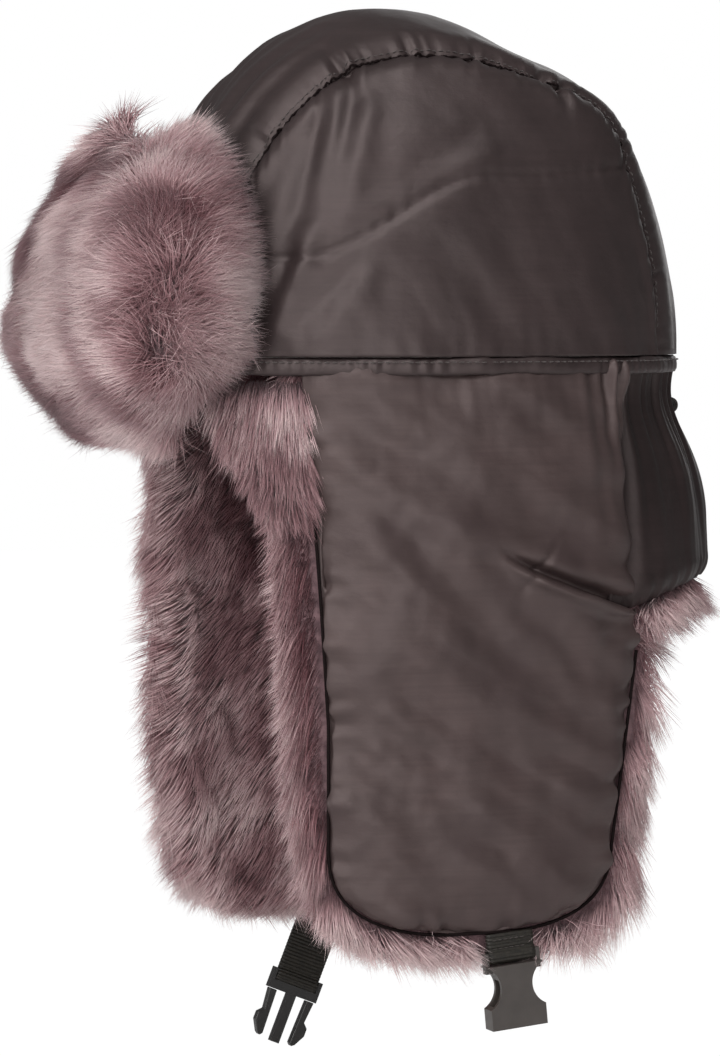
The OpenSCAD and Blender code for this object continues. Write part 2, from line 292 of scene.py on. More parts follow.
class Nodes:
    """A node tree under construction, with short calls for the nodes it uses."""

    def __init__(self, name, holder=bpy.data.materials):
        self.mat = holder.new(name)
        self.mat.use_nodes = True
        self.tree = self.mat.node_tree

    def feed(self, socket, value):
        """Links an output to a socket, or writes a number or a colour into it."""
        if isinstance(value, bpy.types.NodeSocket):
            self.tree.links.new(value, socket)
        elif socket.type == "RGBA":
            socket.default_value = (*value, 1)
        else:
            socket.default_value = value

    def add(self, kind, *inputs, **values):
        """A node; inputs go to its sockets in order, values to sockets or settings by name."""
        node = self.tree.nodes.new("ShaderNode" + kind)
        for key, value in values.items():
            if key in node.inputs:
                self.feed(node.inputs[key], value)
            else:
                setattr(node, key, value)
        for place, value in enumerate(inputs):
            self.feed(node.inputs[place], value)
        return node

    def coords(self, scale=(1, 1, 1)):
        where = self.add("TexCoord").outputs["Object"]
        return self.add("Mapping", Vector=where, Scale=scale).outputs["Vector"]

    def noise(self, vector, scale, detail=3.0, rough_=0.5):
        return self.add("TexNoise", Vector=vector, Scale=scale, Detail=detail,
                        Roughness=rough_).outputs["Fac"]

    def wave(self, vector, scale, direction, distortion):
        return self.add("TexWave", bands_direction=direction, Vector=vector, Scale=scale,
                        Distortion=distortion).outputs["Fac"]

    def ramp(self, fac, *stops):
        node = self.add("ValToRGB", Fac=fac)
        elements = node.color_ramp.elements
        while len(elements) < len(stops):
            elements.new(0.5)
        for element, (place, colour) in zip(elements, stops):
            element.position = place
            element.color = (*colour, 1)
        return node.outputs["Color"]

    def blend(self, fac, a, b, mode="MIX"):
        node = self.add("Mix", data_type="RGBA", blend_type=mode)
        for place, value in ((0, fac), (6, a), (7, b)):
            self.feed(node.inputs[place], value)
        return node.outputs[2]

    def math(self, operation, a, b):
        return self.add("Math", a, b, operation=operation).outputs[0]

    def bump(self, height, strength, distance, **normal):
        return self.add("Bump", Strength=strength, Distance=distance, Height=height,
                        **normal).outputs["Normal"]

    def set(self, **values):
        shader = self.tree.nodes["Principled BSDF"]
        for key, value in values.items():
            self.feed(shader.inputs[key.replace("_", " ")], value)
        return self.mat

    def by_camera(self, shader, seen, output, share=1.0):
        """Shows the camera the shader seen, and lights the scene with the other one."""
        ray = self.add("LightPath").outputs["Is Camera Ray"]
        if share < 1:
            ray = self.math("MULTIPLY", ray, share)
        either = self.add("MixShader", ray, shader, seen)
        self.feed(self.tree.nodes[output].inputs["Surface"], either.outputs["Shader"])


def taffeta(name, base, light, dark, gloss=0.45):
    """Tightly woven satin-like shell cloth with fine ribs and soft colour drift."""
    n = Nodes(name)
    where = n.coords()
    colour = n.ramp(n.noise(where, 22, 4, 0.6), (0.3, dark), (0.5, base), (0.72, light))
    warp = n.wave(n.coords((1, 1, 0.35)), 1400, "DIAGONAL", 0.6)
    weft = n.wave(n.coords((0.2, 0.2, 1)), 1500, "Z", 0.6)
    weave = n.math("MULTIPLY", warp, weft)
    colour = n.blend(n.math("MULTIPLY", weave, 0.16), colour, light)
    slub = n.ramp(n.noise(n.coords((22, 22, 620)), 1.0, 2, 0.6), (0.38, (0, 0, 0)), (0.62, (1, 1, 1)))
    colour = n.blend(n.math("MULTIPLY", slub, 0.40), colour, dark)
    fine = n.bump(weave, 0.12, 0.0002)
    soft = n.bump(n.noise(n.coords((1, 1, 1.6)), 70, 4, 0.6), 0.25, 0.0016, Normal=fine)
    slack = n.bump(n.noise(n.coords((0.8, 0.8, 1.5)), 20, 2, 0.5), 0.4, 0.005, Normal=soft)
    sheen = n.math("ADD", n.math("MULTIPLY", n.noise(where, 45, 3), 0.10), 0.43)
    return n.set(Base_Color=colour, Roughness=sheen, Normal=slack, Specular_Tint=(1, 0.84, 0.82),
                 Specular_IOR_Level=gloss)


def quilt_lining():
    n = Nodes("quilted_lining")
    where = n.coords()
    colour = n.ramp(n.noise(where, 30, 3), (0.3, srgb(52, 46, 45)), (0.7, srgb(78, 70, 68)))
    weave = n.wave(where, 1300, "DIAGONAL", 0.4)
    return n.set(Base_Color=colour, Roughness=0.42, Normal=n.bump(weave, 0.15, 0.0002), Sheen_Weight=0.15)


def fur_strands(name, root, mid, tip, cool, deep):
    """Hair colour from root to tip along V, with a tint for each tuft along U; the tint carries each hair's own
    colour and also the painted light and shade of the pile.
    """
    n = Nodes(name)
    uv = n.add("UVMap", uv_map="OFBake").outputs["UV"]
    parts = n.add("SeparateXYZ", uv).outputs
    along = n.ramp(parts["Y"], (0.0, root), (0.45, mid), (1.0, tip))
    tint = n.ramp(parts["X"], (0.0, (1, 1, 1)), (0.55, cool), (1.0, deep))
    warm = (1, 0.86, 0.88)
    return n.set(Base_Color=n.blend(1.0, along, tint, "MULTIPLY"), Roughness=0.62, Sheen_Weight=0.16,
                 Sheen_Roughness=0.35, Sheen_Tint=warm, Specular_IOR_Level=0.22, Specular_Tint=warm)


def fur_skin(name, dark, light):
    n = Nodes(name)
    where = n.coords()
    colour = n.ramp(n.noise(where, 160, 4, 0.7), (0.3, dark), (0.75, light))
    return n.set(Base_Color=colour, Roughness=0.95, Normal=n.bump(n.noise(where, 900, 3), 0.6, 0.0008))


def webbing_cloth():
    """Ribbed nylon webbing: cross ribs with a finer thread along them."""
    n = Nodes("webbing_cloth")
    thread = n.noise(n.coords((1, 1, 0.3)), 1500, 3)
    colour = n.ramp(thread, (0.3, srgb(14, 12, 9)), (0.7, srgb(38, 34, 28)))
    return n.set(Base_Color=colour, Roughness=0.55, Specular_IOR_Level=0.3,
                 Normal=n.bump(thread, 0.4, 0.0003))


def moulded_plastic(name, base, light):
    n = Nodes(name)
    where = n.coords()
    colour = n.ramp(n.noise(where, 120, 4), (0.3, base), (0.8, light))
    dull = n.math("ADD", n.math("MULTIPLY", n.noise(where, 300, 3), 0.15), 0.3)
    grain = n.bump(n.noise(where, 2600, 2), 0.12, 0.0001)
    return n.set(Base_Color=colour, Roughness=dull, Normal=grain, Specular_IOR_Level=0.5)


def plain_fibre(name, dark, light, grain=700, roughness=0.9, sheen=0.2):
    n = Nodes(name)
    where = n.coords()
    colour = n.ramp(n.noise(where, grain, 4), (0.3, dark), (0.7, light))
    return n.set(Base_Color=colour, Roughness=roughness, Sheen_Weight=sheen,
                 Normal=n.bump(n.noise(where, grain * 2, 3), 0.4, 0.0005), Specular_IOR_Level=sheen)


MAT = {
    # The crown and flap cloths are one fabric at two brightnesses, set for how the light falls on each: the crown
    # copy is darker than the flap copy, painted shade and painted light.
    "shell": taffeta("crown_cloth", srgb(41, 33, 33), srgb(47, 38, 38), srgb(34, 27, 27)),
    "flap_shell": taffeta("flap_cloth", srgb(54, 44, 43), srgb(62, 50, 49), srgb(46, 36, 36)),
    # The nape cloth is the same fabric set much darker: painted shade for the nape, which faces away from the
    # light.
    "nape_shell": taffeta("nape_cloth_painted_shade", srgb(30, 23, 23), srgb(38, 30, 30), srgb(23, 18, 18), 0.3),
    # A near-black cord material, laid in the crown's seam valleys and along the flap shells' edges as painted
    # shadow.
    "seam": plain_fibre("seam_shadow_thread", srgb(16, 12, 12), srgb(30, 24, 24), 2500, 0.9, 0.0),
    "thread": plain_fibre("sewing_thread", srgb(40, 34, 33), srgb(74, 66, 64), 2500, 0.6),
    "lining": quilt_lining(),
    "fur": fur_strands("fur_hair", srgb(80, 52, 57), srgb(176, 144, 146), srgb(252, 232, 230),
                       (0.49, 0.37, 0.39), (0.18, 0.10, 0.113)),
    "skin": fur_skin("fur_backing", srgb(62, 43, 47), srgb(118, 92, 95)),
    "webbing": webbing_cloth(),
    "plastic": moulded_plastic("buckle_grey", srgb(48, 43, 40), srgb(60, 54, 51)),
    "black": moulded_plastic("buckle_black", srgb(14, 12, 11), srgb(24, 21, 19)),
    "padding": plain_fibre("polyester_batting", srgb(186, 180, 172), srgb(226, 222, 215)),
    "stiffener": plain_fibre("stiff_interlining", srgb(160, 152, 138), srgb(196, 188, 172)),
    "elastic": plain_fibre("woven_elastic", srgb(180, 178, 176), srgb(220, 219, 217)),
    "tape": plain_fibre("loop_tape", srgb(30, 26, 25), srgb(58, 52, 50), 1800, 0.7),
}


def dress(obj, material, body=None, replaces=()):
    """Gives a finished piece its material, its body and the CAD nodes it stands for."""
    obj.data.materials.clear()
    obj.data.materials.append(MAT[material])
    if body:
        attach(obj, body)
    if replaces:
        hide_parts(*replaces)
    return obj


# ---- Crown ----

def crown_inner(points, t):
    scale = vec(1 - t / CROWN_A, 1 - t / CROWN_D, 1 - t / CROWN_H)
    return points * scale


def crown_point(s, x):
    """s runs from -1 at the front hem over the top to 1 at the back hem."""
    k = (1 - (np.abs(x) / CROWN_A) ** CROWN_P) ** (1 / CROWN_P)
    t = s * np.arccos((PANEL_HEM / (k * CROWN_H)) ** (CROWN_P / 2))
    y = k * CROWN_D * spow(np.sin(t), 2 / CROWN_P)
    return xyz(x, y, k * CROWN_H * np.cos(t) ** (2 / CROWN_P))


def onto_crown(p):
    r = (np.abs(p[..., 0]) / CROWN_A) ** CROWN_P + (np.abs(p[..., 1]) / CROWN_D) ** CROWN_P
    r = r + (np.abs(p[..., 2]) / CROWN_H) ** CROWN_P
    return p / (r ** (1 / CROWN_P))[..., None]


def settle(p):
    """Sinks the top of the crown behind its peak and squares the rear corners of its seams."""
    x, y, z = p[..., 0], p[..., 1], p[..., 2]
    high = rise(z, 50, 100)
    sink = 11.5 * MM * hill(y, 42, 35) * np.clip(1 - (np.abs(x) / (60 * MM)) ** 3, 0, 1) * high
    push = hill(y, 63, 22) * hill(z, 102, 26) * hill(np.abs(x), 61, 17)
    return p - sink[..., None] * UP + (8 * MM * push)[..., None] * vec(0, 0.5, 0.86)


def seam_x(s):
    return SEAM_TOP + SEAM_WIDEN * s


SEAM_END = 0.985
HEM_K = (1 - (PANEL_HEM / CROWN_H) ** CROWN_P) ** (1 / CROWN_P)


def hem_angle(s):
    return np.arccos((seam_x(s) / (CROWN_A * HEM_K)) ** (CROWN_P / 2))


def centre_grid(rows, cols):
    s, v = spans(-1, 1, rows, -1, 1, cols)
    return crown_point(s, v * seam_x(s)), s, (1 - np.abs(v)) * seam_x(s)


def side_grid(rows, cols):
    s, v = spans(-SEAM_END, SEAM_END, rows, 0, 1, cols)
    a = mix(-hem_angle(-1.0), hem_angle(1.0), (s / SEAM_END + 1) / 2)
    hem = xyz(CROWN_A * HEM_K * np.cos(a) ** (2 / CROWN_P),
              CROWN_D * HEM_K * spow(np.sin(a), 2 / CROWN_P), PANEL_HEM)
    top = crown_point(s, seam_x(s))
    p = onto_crown(mix(top, hem, (v ** 1.15)[..., None]))
    return p, s, np.linalg.norm(p - p[:, :1], axis=-1)


def pucker(s, d, seed):
    """Seam valley with the short gathers that a sewn, padded seam pulls up beside it."""
    strength = 0.55 + 0.45 * wave(s * 3.1, seed + 5)
    ticks = wave(s * 26, seed, 6, 0.6) * hill(d, 0, 9) * strength
    fine = wave(s * 60, seed + 1, 6, 0.5) * hill(d, 0, 5) * 0.45
    valley = -2.6 * np.exp(-d / (3.2 * MM))
    roll = 1.1 * hill(d, 9, 7)
    return (valley + roll + 1.1 * ticks + fine) * MM


def soft_wrinkles(points, seed):
    """Slack folds of the padded cloth, longer across than up, stronger near the hem."""
    stretched = points * vec(1.0, 1.0, 0.45)
    slack = 0.45 + 0.65 * np.exp(-np.maximum(points[..., 2] - PANEL_HEM, 0) / (55 * MM))
    turned = stretched + vec(0, 0.45, 0) * points[..., 2:3]
    return (1.9 * rough(turned, 36, seed) + 0.45 * rough(turned, 14, seed + 3)) * slack * MM


def fold(y, z, start, end, width, height):
    """One long soft fold from start to end, in mm: a ridge with a valley below it."""
    a, b = np.array(start) * MM, np.array(end) * MM
    run = b - a
    t = ((y - a[0]) * run[0] + (z - a[1]) * run[1]) / (run @ run)
    off = ((y - a[0]) * run[1] - (z - a[1]) * run[0]) / np.sqrt(run @ run)
    fade = ease(t * 3.5 + 0.35) * ease((1.0 - t) * 3.5 + 0.35)
    w = width * MM * (0.7 + 0.5 * np.clip(t, 0, 1))
    return height * MM * fade * (bump(off, w) - 0.8 * bump(off - 1.7 * w, 0.8 * w))


def side_folds(points):
    """The folds that run from the front of the seam down to the hem, and a few short ones."""
    y, z = points[..., 1], points[..., 2]
    return sum(fold(y, z, *each) for each in (
        ((-52, 112), (-74, 40), 4.5, 2.0), ((-40, 112), (-62, 52), 5.5, 1.6),
        ((-70, 52), (-84, 12), 4.0, 1.5), ((-46, 44), (-66, 12), 6.0, 1.3),
        ((8, 92), (-30, 58), 8.0, 0.9), ((60, 30), (30, 12), 9.0, 0.8)))


def tuck(s, d, place, depth, reach):
    """A deep short tuck square to the seam, where the sewing has caught the cloth."""
    along = (s - place) * 190 * MM
    valley = bump(along - d * 0.25, 2.2 * MM + d * 0.12) * rise(d, 0, 2)
    return depth * MM * hill(d, 0, reach) * (0.5 * hill(along, 7, 4) - valley)


def quilt_line(points):
    """The shallow quilting line that crosses each side panel from low in front to high behind."""
    y, z = points[..., 1], points[..., 2]
    line = mix(47 * MM, 81 * MM, rise(y, -78, 4))
    d = z - line
    above = 0.5 * hill(d, 8, 6) + 0.5 * hill(d, -8, 6)
    ticks = 0.15 * wave(y / (9 * MM), 4) * hill(d, 0, 4)
    return (-1.3 * hill(d, 0, 1.8) + above + ticks) * MM


def hem_gathers(points, along, seed):
    """Short upright gathers where the cloth goes into the hem band."""
    above = points[..., 2] - PANEL_HEM
    return wave(along / (10 * MM), seed, 6, 0.5) * np.exp(-above / (13 * MM)) * 0.9 * MM


def crown_panel(name, p, height):
    over_band = 1.1 * MM * np.exp(-(p[..., 2] - PANEL_HEM) / (9 * MM))
    outer = settle(p + grid_normals(p, unit(p)) * (height + over_band)[..., None])
    outer[..., 2] = np.maximum(outer[..., 2], PANEL_HEM - 0.9 * MM)
    obj = slab_mesh(f"crown_{name}", outer, settle(crown_inner(p, 2.8 * MM)))
    dress(obj, "shell", "crown", [f"crown_{name}_panel"])


def centre_height(p, s, d):
    """Height of the cloth's relief on the centre panel."""
    h = pucker(s + 0.02, d, 1) + soft_wrinkles(p, 2.0) * 0.9 + 0.25 * hem_gathers(p, p[..., 0], 8)
    h += tuck(s, d, -0.30, 3.2, 15) + tuck(s, d, 0.22, 2.2, 10) + tuck(s, d, -0.58, 1.8, 10)
    lanes = wave(d / (19 * MM) + 0.6 * s, 17, 3, 0.3) * rise(d, 8, 20)
    return h + lanes * ease((-0.15 - s) / 0.3) * 1.1 * MM


def make_crown():
    p, s, d = centre_grid(190, 96)
    crown_panel("centre", p, centre_height(p, s, d))
    for side, name in SIDES:
        p, s, d = side_grid(190, 96)
        around = np.arctan2(p[..., 1], p[..., 0]) * CROWN_A
        h = pucker(s, d, 21 + side) + quilt_line(p) + soft_wrinkles(p, 6.0 + side) + side_folds(p)
        h += 0.15 * hem_gathers(p, around, 9 + side)
        h += tuck(s, d, -0.28, 2.6, 13) + tuck(s, d, 0.27, 3.0, 11)
        crown_panel(name, p * vec(side, 1, 1), h)


def make_crown_inside():
    """Batting behind the panels and the quilted lining."""
    s, v = spans(-1, 1, 60, -1, 1, 120)
    x = np.sin(v * math.pi / 2) * CROWN_A * 0.995
    k = (1 - (np.abs(x) / CROWN_A) ** CROWN_P) ** (1 / CROWN_P)
    t = s * np.arccos(np.clip((PANEL_HEM / (k * CROWN_H)), 0, 0.999) ** (CROWN_P / 2))
    p = xyz(x, k * CROWN_D * spow(np.sin(t), 2 / CROWN_P),
            np.maximum(k * CROWN_H * np.cos(t) ** (2 / CROWN_P), PANEL_HEM))
    lumps = rough(p, 18, 5.0)[..., None] * 0.4 * MM * unit(p)
    pad = [settle(crown_inner(p, depth * MM) + lumps) for depth in (4.0, 7.2)]
    dress(slab_mesh("crown_padding", *pad), "padding", "crown", ["crown_batting"])
    quilt = 14 * MM
    u1, u2 = (p[..., 0] + p[..., 2]) / quilt, (p[..., 1] + 0.6 * p[..., 2]) / quilt
    seam = np.minimum(np.abs(u1 - np.round(u1)), np.abs(u2 - np.round(u2)))
    puff = (1.6 * np.minimum(1, seam * 2.6) ** 0.6 - 1.0)[..., None] * MM
    lining = [settle(crown_inner(p, 8.2 * MM)), settle(crown_inner(p, 9.6 * MM) - unit(p) * puff)]
    dress(slab_mesh("quilted_lining", *lining), "lining", "crown", ["crown_lining"])


def opening_curve(n, grow):
    a = np.linspace(0, 2 * math.pi, n, endpoint=False)
    return xyz((CROWN_A + grow) * spow(np.cos(a), 2 / CROWN_P),
               (CROWN_D + grow) * spow(np.sin(a), 2 / CROWN_P), 0 * a)


def band_ripple(turns):
    """How far the hem band swells and sinks between its stitches."""
    return (wave(turns * 95, 31, 6) * 0.28 + wave(turns * 22, 33) * 0.35)[:, None] * MM


def make_band():
    """The hem band: a folded strip with rolled edges and slight puckers between stitches."""
    n = 720
    section = [(-2.6, 0.6), (-0.4, 0.0), (0.9, 0.4), (1.5, 1.6), (1.6, 3.5), (1.35, 5.2),
               (0.9, 6.4), (-0.2, 7.1), (-1.6, 7.0), (-2.7, 6.0), (-2.9, 3.4)]
    turns = np.arange(n) / n
    rings = []
    for out, z in section:
        ring = opening_curve(n, out * MM)
        ring += unit(ring) * band_ripple(turns)
        ring[:, 2] = z * MM + wave(turns * 14, 35) * 0.25 * MM
        rings.append(ring)
    band = add_mesh("hem_band_cloth", rings, ring_faces(len(rings), n, wrap=True))
    dress(band, "shell", "crown", ["hem_band"])


def stitches(name, path, normals, body, pitch=3.1, length=2.2, width=0.28, lift=0.15):
    """A run of sewn thread: one small capsule per stitch, half sunk in the cloth. Sizes in mm."""
    dist = run_lengths(path)
    verts, faces = [], []
    ring, segs = 6, 5
    for start in np.arange(0, dist[-1] - length * MM, pitch * MM):
        ends = [at_length(d, dist, path) for d in (start, start + length * MM)]
        up = at_length(start, dist, normals)
        along = ends[1] - ends[0]
        side = unit(np.cross(along, up))
        base = len(verts)
        for t in np.linspace(0, 1, segs):
            r = width * max(0.25, math.sin(math.pi * (0.12 + 0.76 * t))) * MM
            dip = (1.6 * lift * math.sin(math.pi * t) - 0.05) * MM
            centre = ends[0] + along * t + up * dip
            for a in np.arange(ring) * 2 * math.pi / ring:
                verts.append(centre + side * math.cos(a) * r + up * math.sin(a) * r)
        faces += ring_caps(segs, ring, base) + ring_faces(segs, ring, base)
    dress(add_mesh(name, verts, faces), "thread", body)


def cord(name, path, radius, body, material="thread"):
    """A thin round cord along a path; it fills the valley of a seam, and in the dark seam material it is a painted
    shadow.
    """
    tan = unit(np.gradient(path, axis=0))
    side = unit(np.cross(tan, vec(0.13, 0.21, 0.97)))
    up = np.cross(side, tan)
    ring, n = 6, len(path)
    verts = np.stack([path + (side * math.cos(a) + up * math.sin(a)) * radius
                      for a in np.arange(ring) * 2 * math.pi / ring], 1)
    obj = add_mesh(name, verts, ring_faces(n, ring) + ring_caps(n, ring))
    return dress(obj, material, body)


def make_topstitch():
    s = np.linspace(-0.97, 0.97, 500)
    inset = 1.9 * MM
    for side, name in SIDES:
        flip = vec(side, 1, 1)
        p = crown_point(s, seam_x(s) - inset)
        n = unit(p * vec(1 / CROWN_A ** 2, 1 / CROWN_D ** 2, 1 / CROWN_H ** 2))
        path = p + n * (centre_height(p * flip, s, 0 * s + inset) + 0.1 * MM)[:, None]
        stitches(f"crown_stitch_{name}", settle(path * flip), n * flip, "crown")
        # A dark cord sunk along the seam's valley: painted shadow in the seam.
        path = crown_point(s, seam_x(s)) + n * (centre_height(p * flip, s, 0 * s) + 0.8 * MM)[:, None]
        cord(f"crown_seam_shadow_{name}", settle(path * flip), 0.55 * MM, "crown", "seam")
    count = 900
    ring = opening_curve(count, 1.7 * MM)
    ring += unit(ring) * band_ripple(np.arange(count) / count)
    out = unit(ring)
    ring[:, 2] = BAND_H - 1.6 * MM
    stitches("band_stitch", ring, out, "crown", lift=0.25)


# ---- Curtain: flaps and nape ----

def curtain_power(z):
    return CROWN_P + 0.7 * rise(z, 0, -120)


def curtain_depth(behind, z):
    return CROWN_D + np.where(behind, NAPE_FLARE, 4 * MM) * rise(z, 0, -60)


def curtain_oval(a, z):
    e = 2 / curtain_power(z)
    return xyz(CROWN_A * spow(np.cos(a), e), curtain_depth(np.sin(a) > 0, z) * spow(np.sin(a), e), z)


def front_oval(a, z):
    e = 2 / CROWN_P
    return xyz(CROWN_A * spow(np.cos(a), e), CROWN_D * spow(np.sin(a), e), z)


def oval_frame(oval, a, z):
    """The point at angle a and height z of an oval, and its outward normal there."""
    step = 0.01
    d = oval(a + step, z) - oval(a - step, z)
    return oval(a, z), unit(xyz(d[..., 1], -d[..., 0], 0))


def curtain_frame(a, z):
    return oval_frame(curtain_oval, a, z)


def angle_at(y, z):
    return np.arcsin(np.clip(spow(y / curtain_depth(y > 0, z), curtain_power(z) / 2), -1, 1))


ROUND_H, ROUND_P = 34 * MM, 2.6
SWAY = {1: 0.0, -1: 10 * MM}
SHELL_LEDGE, FUR_LEDGE = -103 * MM, -105 * MM
STRAP_Y = {1: JOINTS["left_strap_swing"]["pos_m"][1], -1: JOINTS["right_strap_swing"]["pos_m"][1]}
FLAP_TOP = 6 * MM
PAD_RIM = 2.6 * MM


def flap_outline(rim, ledge, sway, fuller=0.0):
    """Height rows with front and rear edges of a flap whose edge stands rim outside the shell's."""
    bottom = -FLAP_LEN - rim * 1.3
    curve = ROUND_H + rim * 0.8
    z = np.concatenate([np.linspace(FLAP_TOP, ledge + 7 * MM, 40)[:-1],
                        np.linspace(ledge + 7 * MM, bottom + curve, 45)[:-1],
                        mix(bottom + curve, bottom, np.sin(np.linspace(0, 84, 34) * math.pi / 180))])
    front = -mix(72 * MM, 64 * MM, np.minimum(1, -z / 0.14)) - rim - sway * ease(-z / 0.06)
    front = front - fuller * ease(-z / 0.05) * ease((z + 0.215) / 0.06)
    low = mix(67 * MM, 53 * MM, np.clip((ledge - z) / 0.09, 0, 1)) + rim * 1.4
    low = low - sway * ease((ledge - z) / 0.06)
    low = low + 0.5 * fuller * ease((ledge - 4 * MM - z) / (30 * MM))
    rear = mix(SPLIT_Y + 3 * MM, low, ease((ledge + 6 * MM - z) / (12 * MM)))
    v = np.clip((bottom + curve - z) / curve, 0, 1)
    share = (1 - v ** ROUND_P) ** (1 / ROUND_P)
    mid, half = (front + rear) / 2, (rear - front) / 2 * share
    return z, mid - half, mid + half


def flap_grid(rim, ledge, sway, cols, fuller=0.0):
    z, front, rear = flap_outline(rim, ledge, sway, fuller)
    v = (1 + np.sin(np.linspace(-1, 1, cols) * math.pi / 2 * 0.98) / math.sin(math.pi / 2 * 0.98)) / 2
    y = rear[:, None] + (front - rear)[:, None] * v[None, :]
    zz = np.repeat(z[:, None], cols, 1)
    p, n = curtain_frame(angle_at(y, zz), zz)
    edge = np.minimum(v, 1 - v)[None, :] * (rear - front)[:, None]
    return p, n, np.minimum(edge, zz - z.min())


def pinch(y, z):
    """The slanting pinched fold that runs from mid flap to the nape's corner."""
    t = (y - 1 * MM) / (68 * MM)
    line = -0.067 - 0.028 * np.clip(t, 0, 1.2) ** 0.7
    fade = ease(t * 3) * ease((1.25 - t) * 4)
    d = z - line
    fold_ = -6.0 * hill(d, 0, 1.9) + 4.6 * hill(d, -4.2, 3.0) + 2.6 * hill(d, 7, 5)
    notch = -1.6 * bump(d - 1.5 * (y - 20 * MM), 2.2 * MM) * hill(y, 20, 7)
    return (fold_ + notch) * fade * MM


def flap_detail(p, seed):
    """Height of the small folds in a flap's cloth at points of its outer face."""
    y, z = p[..., 1], p[..., 2]
    rear = rise(y, 35, 60)
    gather = wave(y / (8 * MM) + z / (60 * MM), seed, 6, 0.5) * np.exp(z / (20 * MM)) * (0.1 + 1.9 * rear)
    long_fold = wave(y / (22 * MM), seed + 2) * rear * hill(z, -55, 55) * 1.2
    slant = xyz(0.4 * (0.87 * y - 0.5 * z), 0.5 * y + 0.87 * z, 0)
    slack = 3.6 * rough(slant, 26, seed) + 0.6 * rough(p, 15, seed + 1)
    return (gather + long_fold + slack) * MM + pinch(y, z)


def edge_ticks(inset, along, seed):
    """Short creases square to a sewn edge; inset is the distance from it."""
    some = ease(0.5 + 1.6 * wave(along / (41 * MM), seed + 3))
    return wave(along / (15 * MM), seed, 7, 0.7) * hill(inset, 0, 8) * mix(0.25, 1.0, some) * MM


def flap_edges(side, height):
    """Front and rear edge of a flap's shell at each height, and its lowest point."""
    z, front, rear = flap_outline(PAD_RIM, SHELL_LEDGE, SWAY[side])
    order = np.argsort(z)
    return *(np.interp(height, z[order], edge[order]) for edge in (front, rear)), z.min()


def fill_outline(co, side):
    """Stretches a swollen pad along the curtain until it meets the flap's outline again."""
    y_old, z_old = co[:, 1], co[:, 2]
    p, n = curtain_frame(angle_at(y_old, z_old), z_old)
    depth = ((co - p) * n).sum(-1)
    count = 89
    bins = np.linspace(z_old.min(), z_old.max(), count + 1)
    k = np.clip(np.digitize(z_old, bins) - 1, 0, count - 1)
    full = [i for i in range(count) if (k == i).any()]
    mids = ((bins[1:] + bins[:-1]) / 2)[full]
    now = [np.interp(z_old, mids, [end(y_old[k == i]) for i in full]) for end in (np.min, np.max)]
    reach = ease((-120 * MM - z_old) / (-120 * MM - z_old.min()))
    z_new = z_old + (flap_edges(side, z_old)[2] - z_old.min()) * reach
    front, rear, _ = flap_edges(side, z_new)
    t = np.clip((y_old - now[0]) / np.maximum(now[1] - now[0], 1 * MM), 0, 1)
    p, n = curtain_frame(angle_at(mix(front, rear, t), z_new), z_new)
    return p + n * depth[:, None]


def flap_pad(side, name, body):
    """The padded shell of an ear flap: a flat pillow, swollen by the cloth solver, then creased."""
    p, n, edge = flap_grid(PAD_RIM, SHELL_LEDGE, SWAY[side], 60)
    thin = 1 - np.clip(edge / (10 * MM), 0, 1)
    outer = p - n * ((1.2 + 2.4 * thin ** 2) * MM)[..., None]
    pad = slab_mesh(f"{name}_flap_pad", outer, p - n * (7.8 * MM))
    remesh(pad, 4 * MM)
    inflate(pad, 2.6 * MM)
    subdivide(pad, 2)
    set_co(pad, fill_outline(get_co(pad), side))
    co, nn = get_co(pad), read_vectors(pad.data.vertex_normals, "vector")
    a = np.arctan2(co[:, 1], co[:, 0])
    away = xyz(np.cos(a), np.sin(a), 0)
    facing = ease(((nn * away).sum(-1) - 0.1) / 0.5)
    y, z = co[:, 1], co[:, 2]
    front, rear, bottom = flap_edges(side, z)
    gap = np.minimum(y - front, np.where(z < -100 * MM, rear - y, 1.0))
    low = z - bottom
    border = np.maximum(np.minimum(gap, low), 0)
    h = flap_detail(co, 40 if side > 0 else 60) + edge_ticks(border, np.where(gap < low, z, y), 43)
    co = co + nn * (h * facing)[:, None]
    co[:, 0] *= side
    set_co(pad, co)
    if side < 0:
        pad.data.flip_normals()
    dress(pad, "flap_shell", None, [f"{name}_flap_shell", f"{name}_flap_batting"])
    fold_blend(pad)


def flap_seam_shadow(side, name, body):
    """A dark cord along the edge between the shell of a flap and its fur: painted shadow where the shell's rolled
    edge meets the fur.
    """
    z, front, rear = flap_outline(PAD_RIM + 0.4 * MM, SHELL_LEDGE, SWAY[side])
    low = z < -2 * MM
    free = z < SHELL_LEDGE - 9 * MM
    y = np.concatenate([front[low], rear[free][::-1]])
    z = np.concatenate([z[low], z[free][::-1]])
    p, n = curtain_frame(angle_at(y, z), z)
    path = (p - n * 4.2 * MM) * vec(side, 1, 1)
    fold_blend(cord(f"{name}_flap_seam_shadow", path, 0.7 * MM, None, "seam"))


def fold_blend(obj):
    """Bakes the object's transform into its mesh."""
    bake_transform(obj)


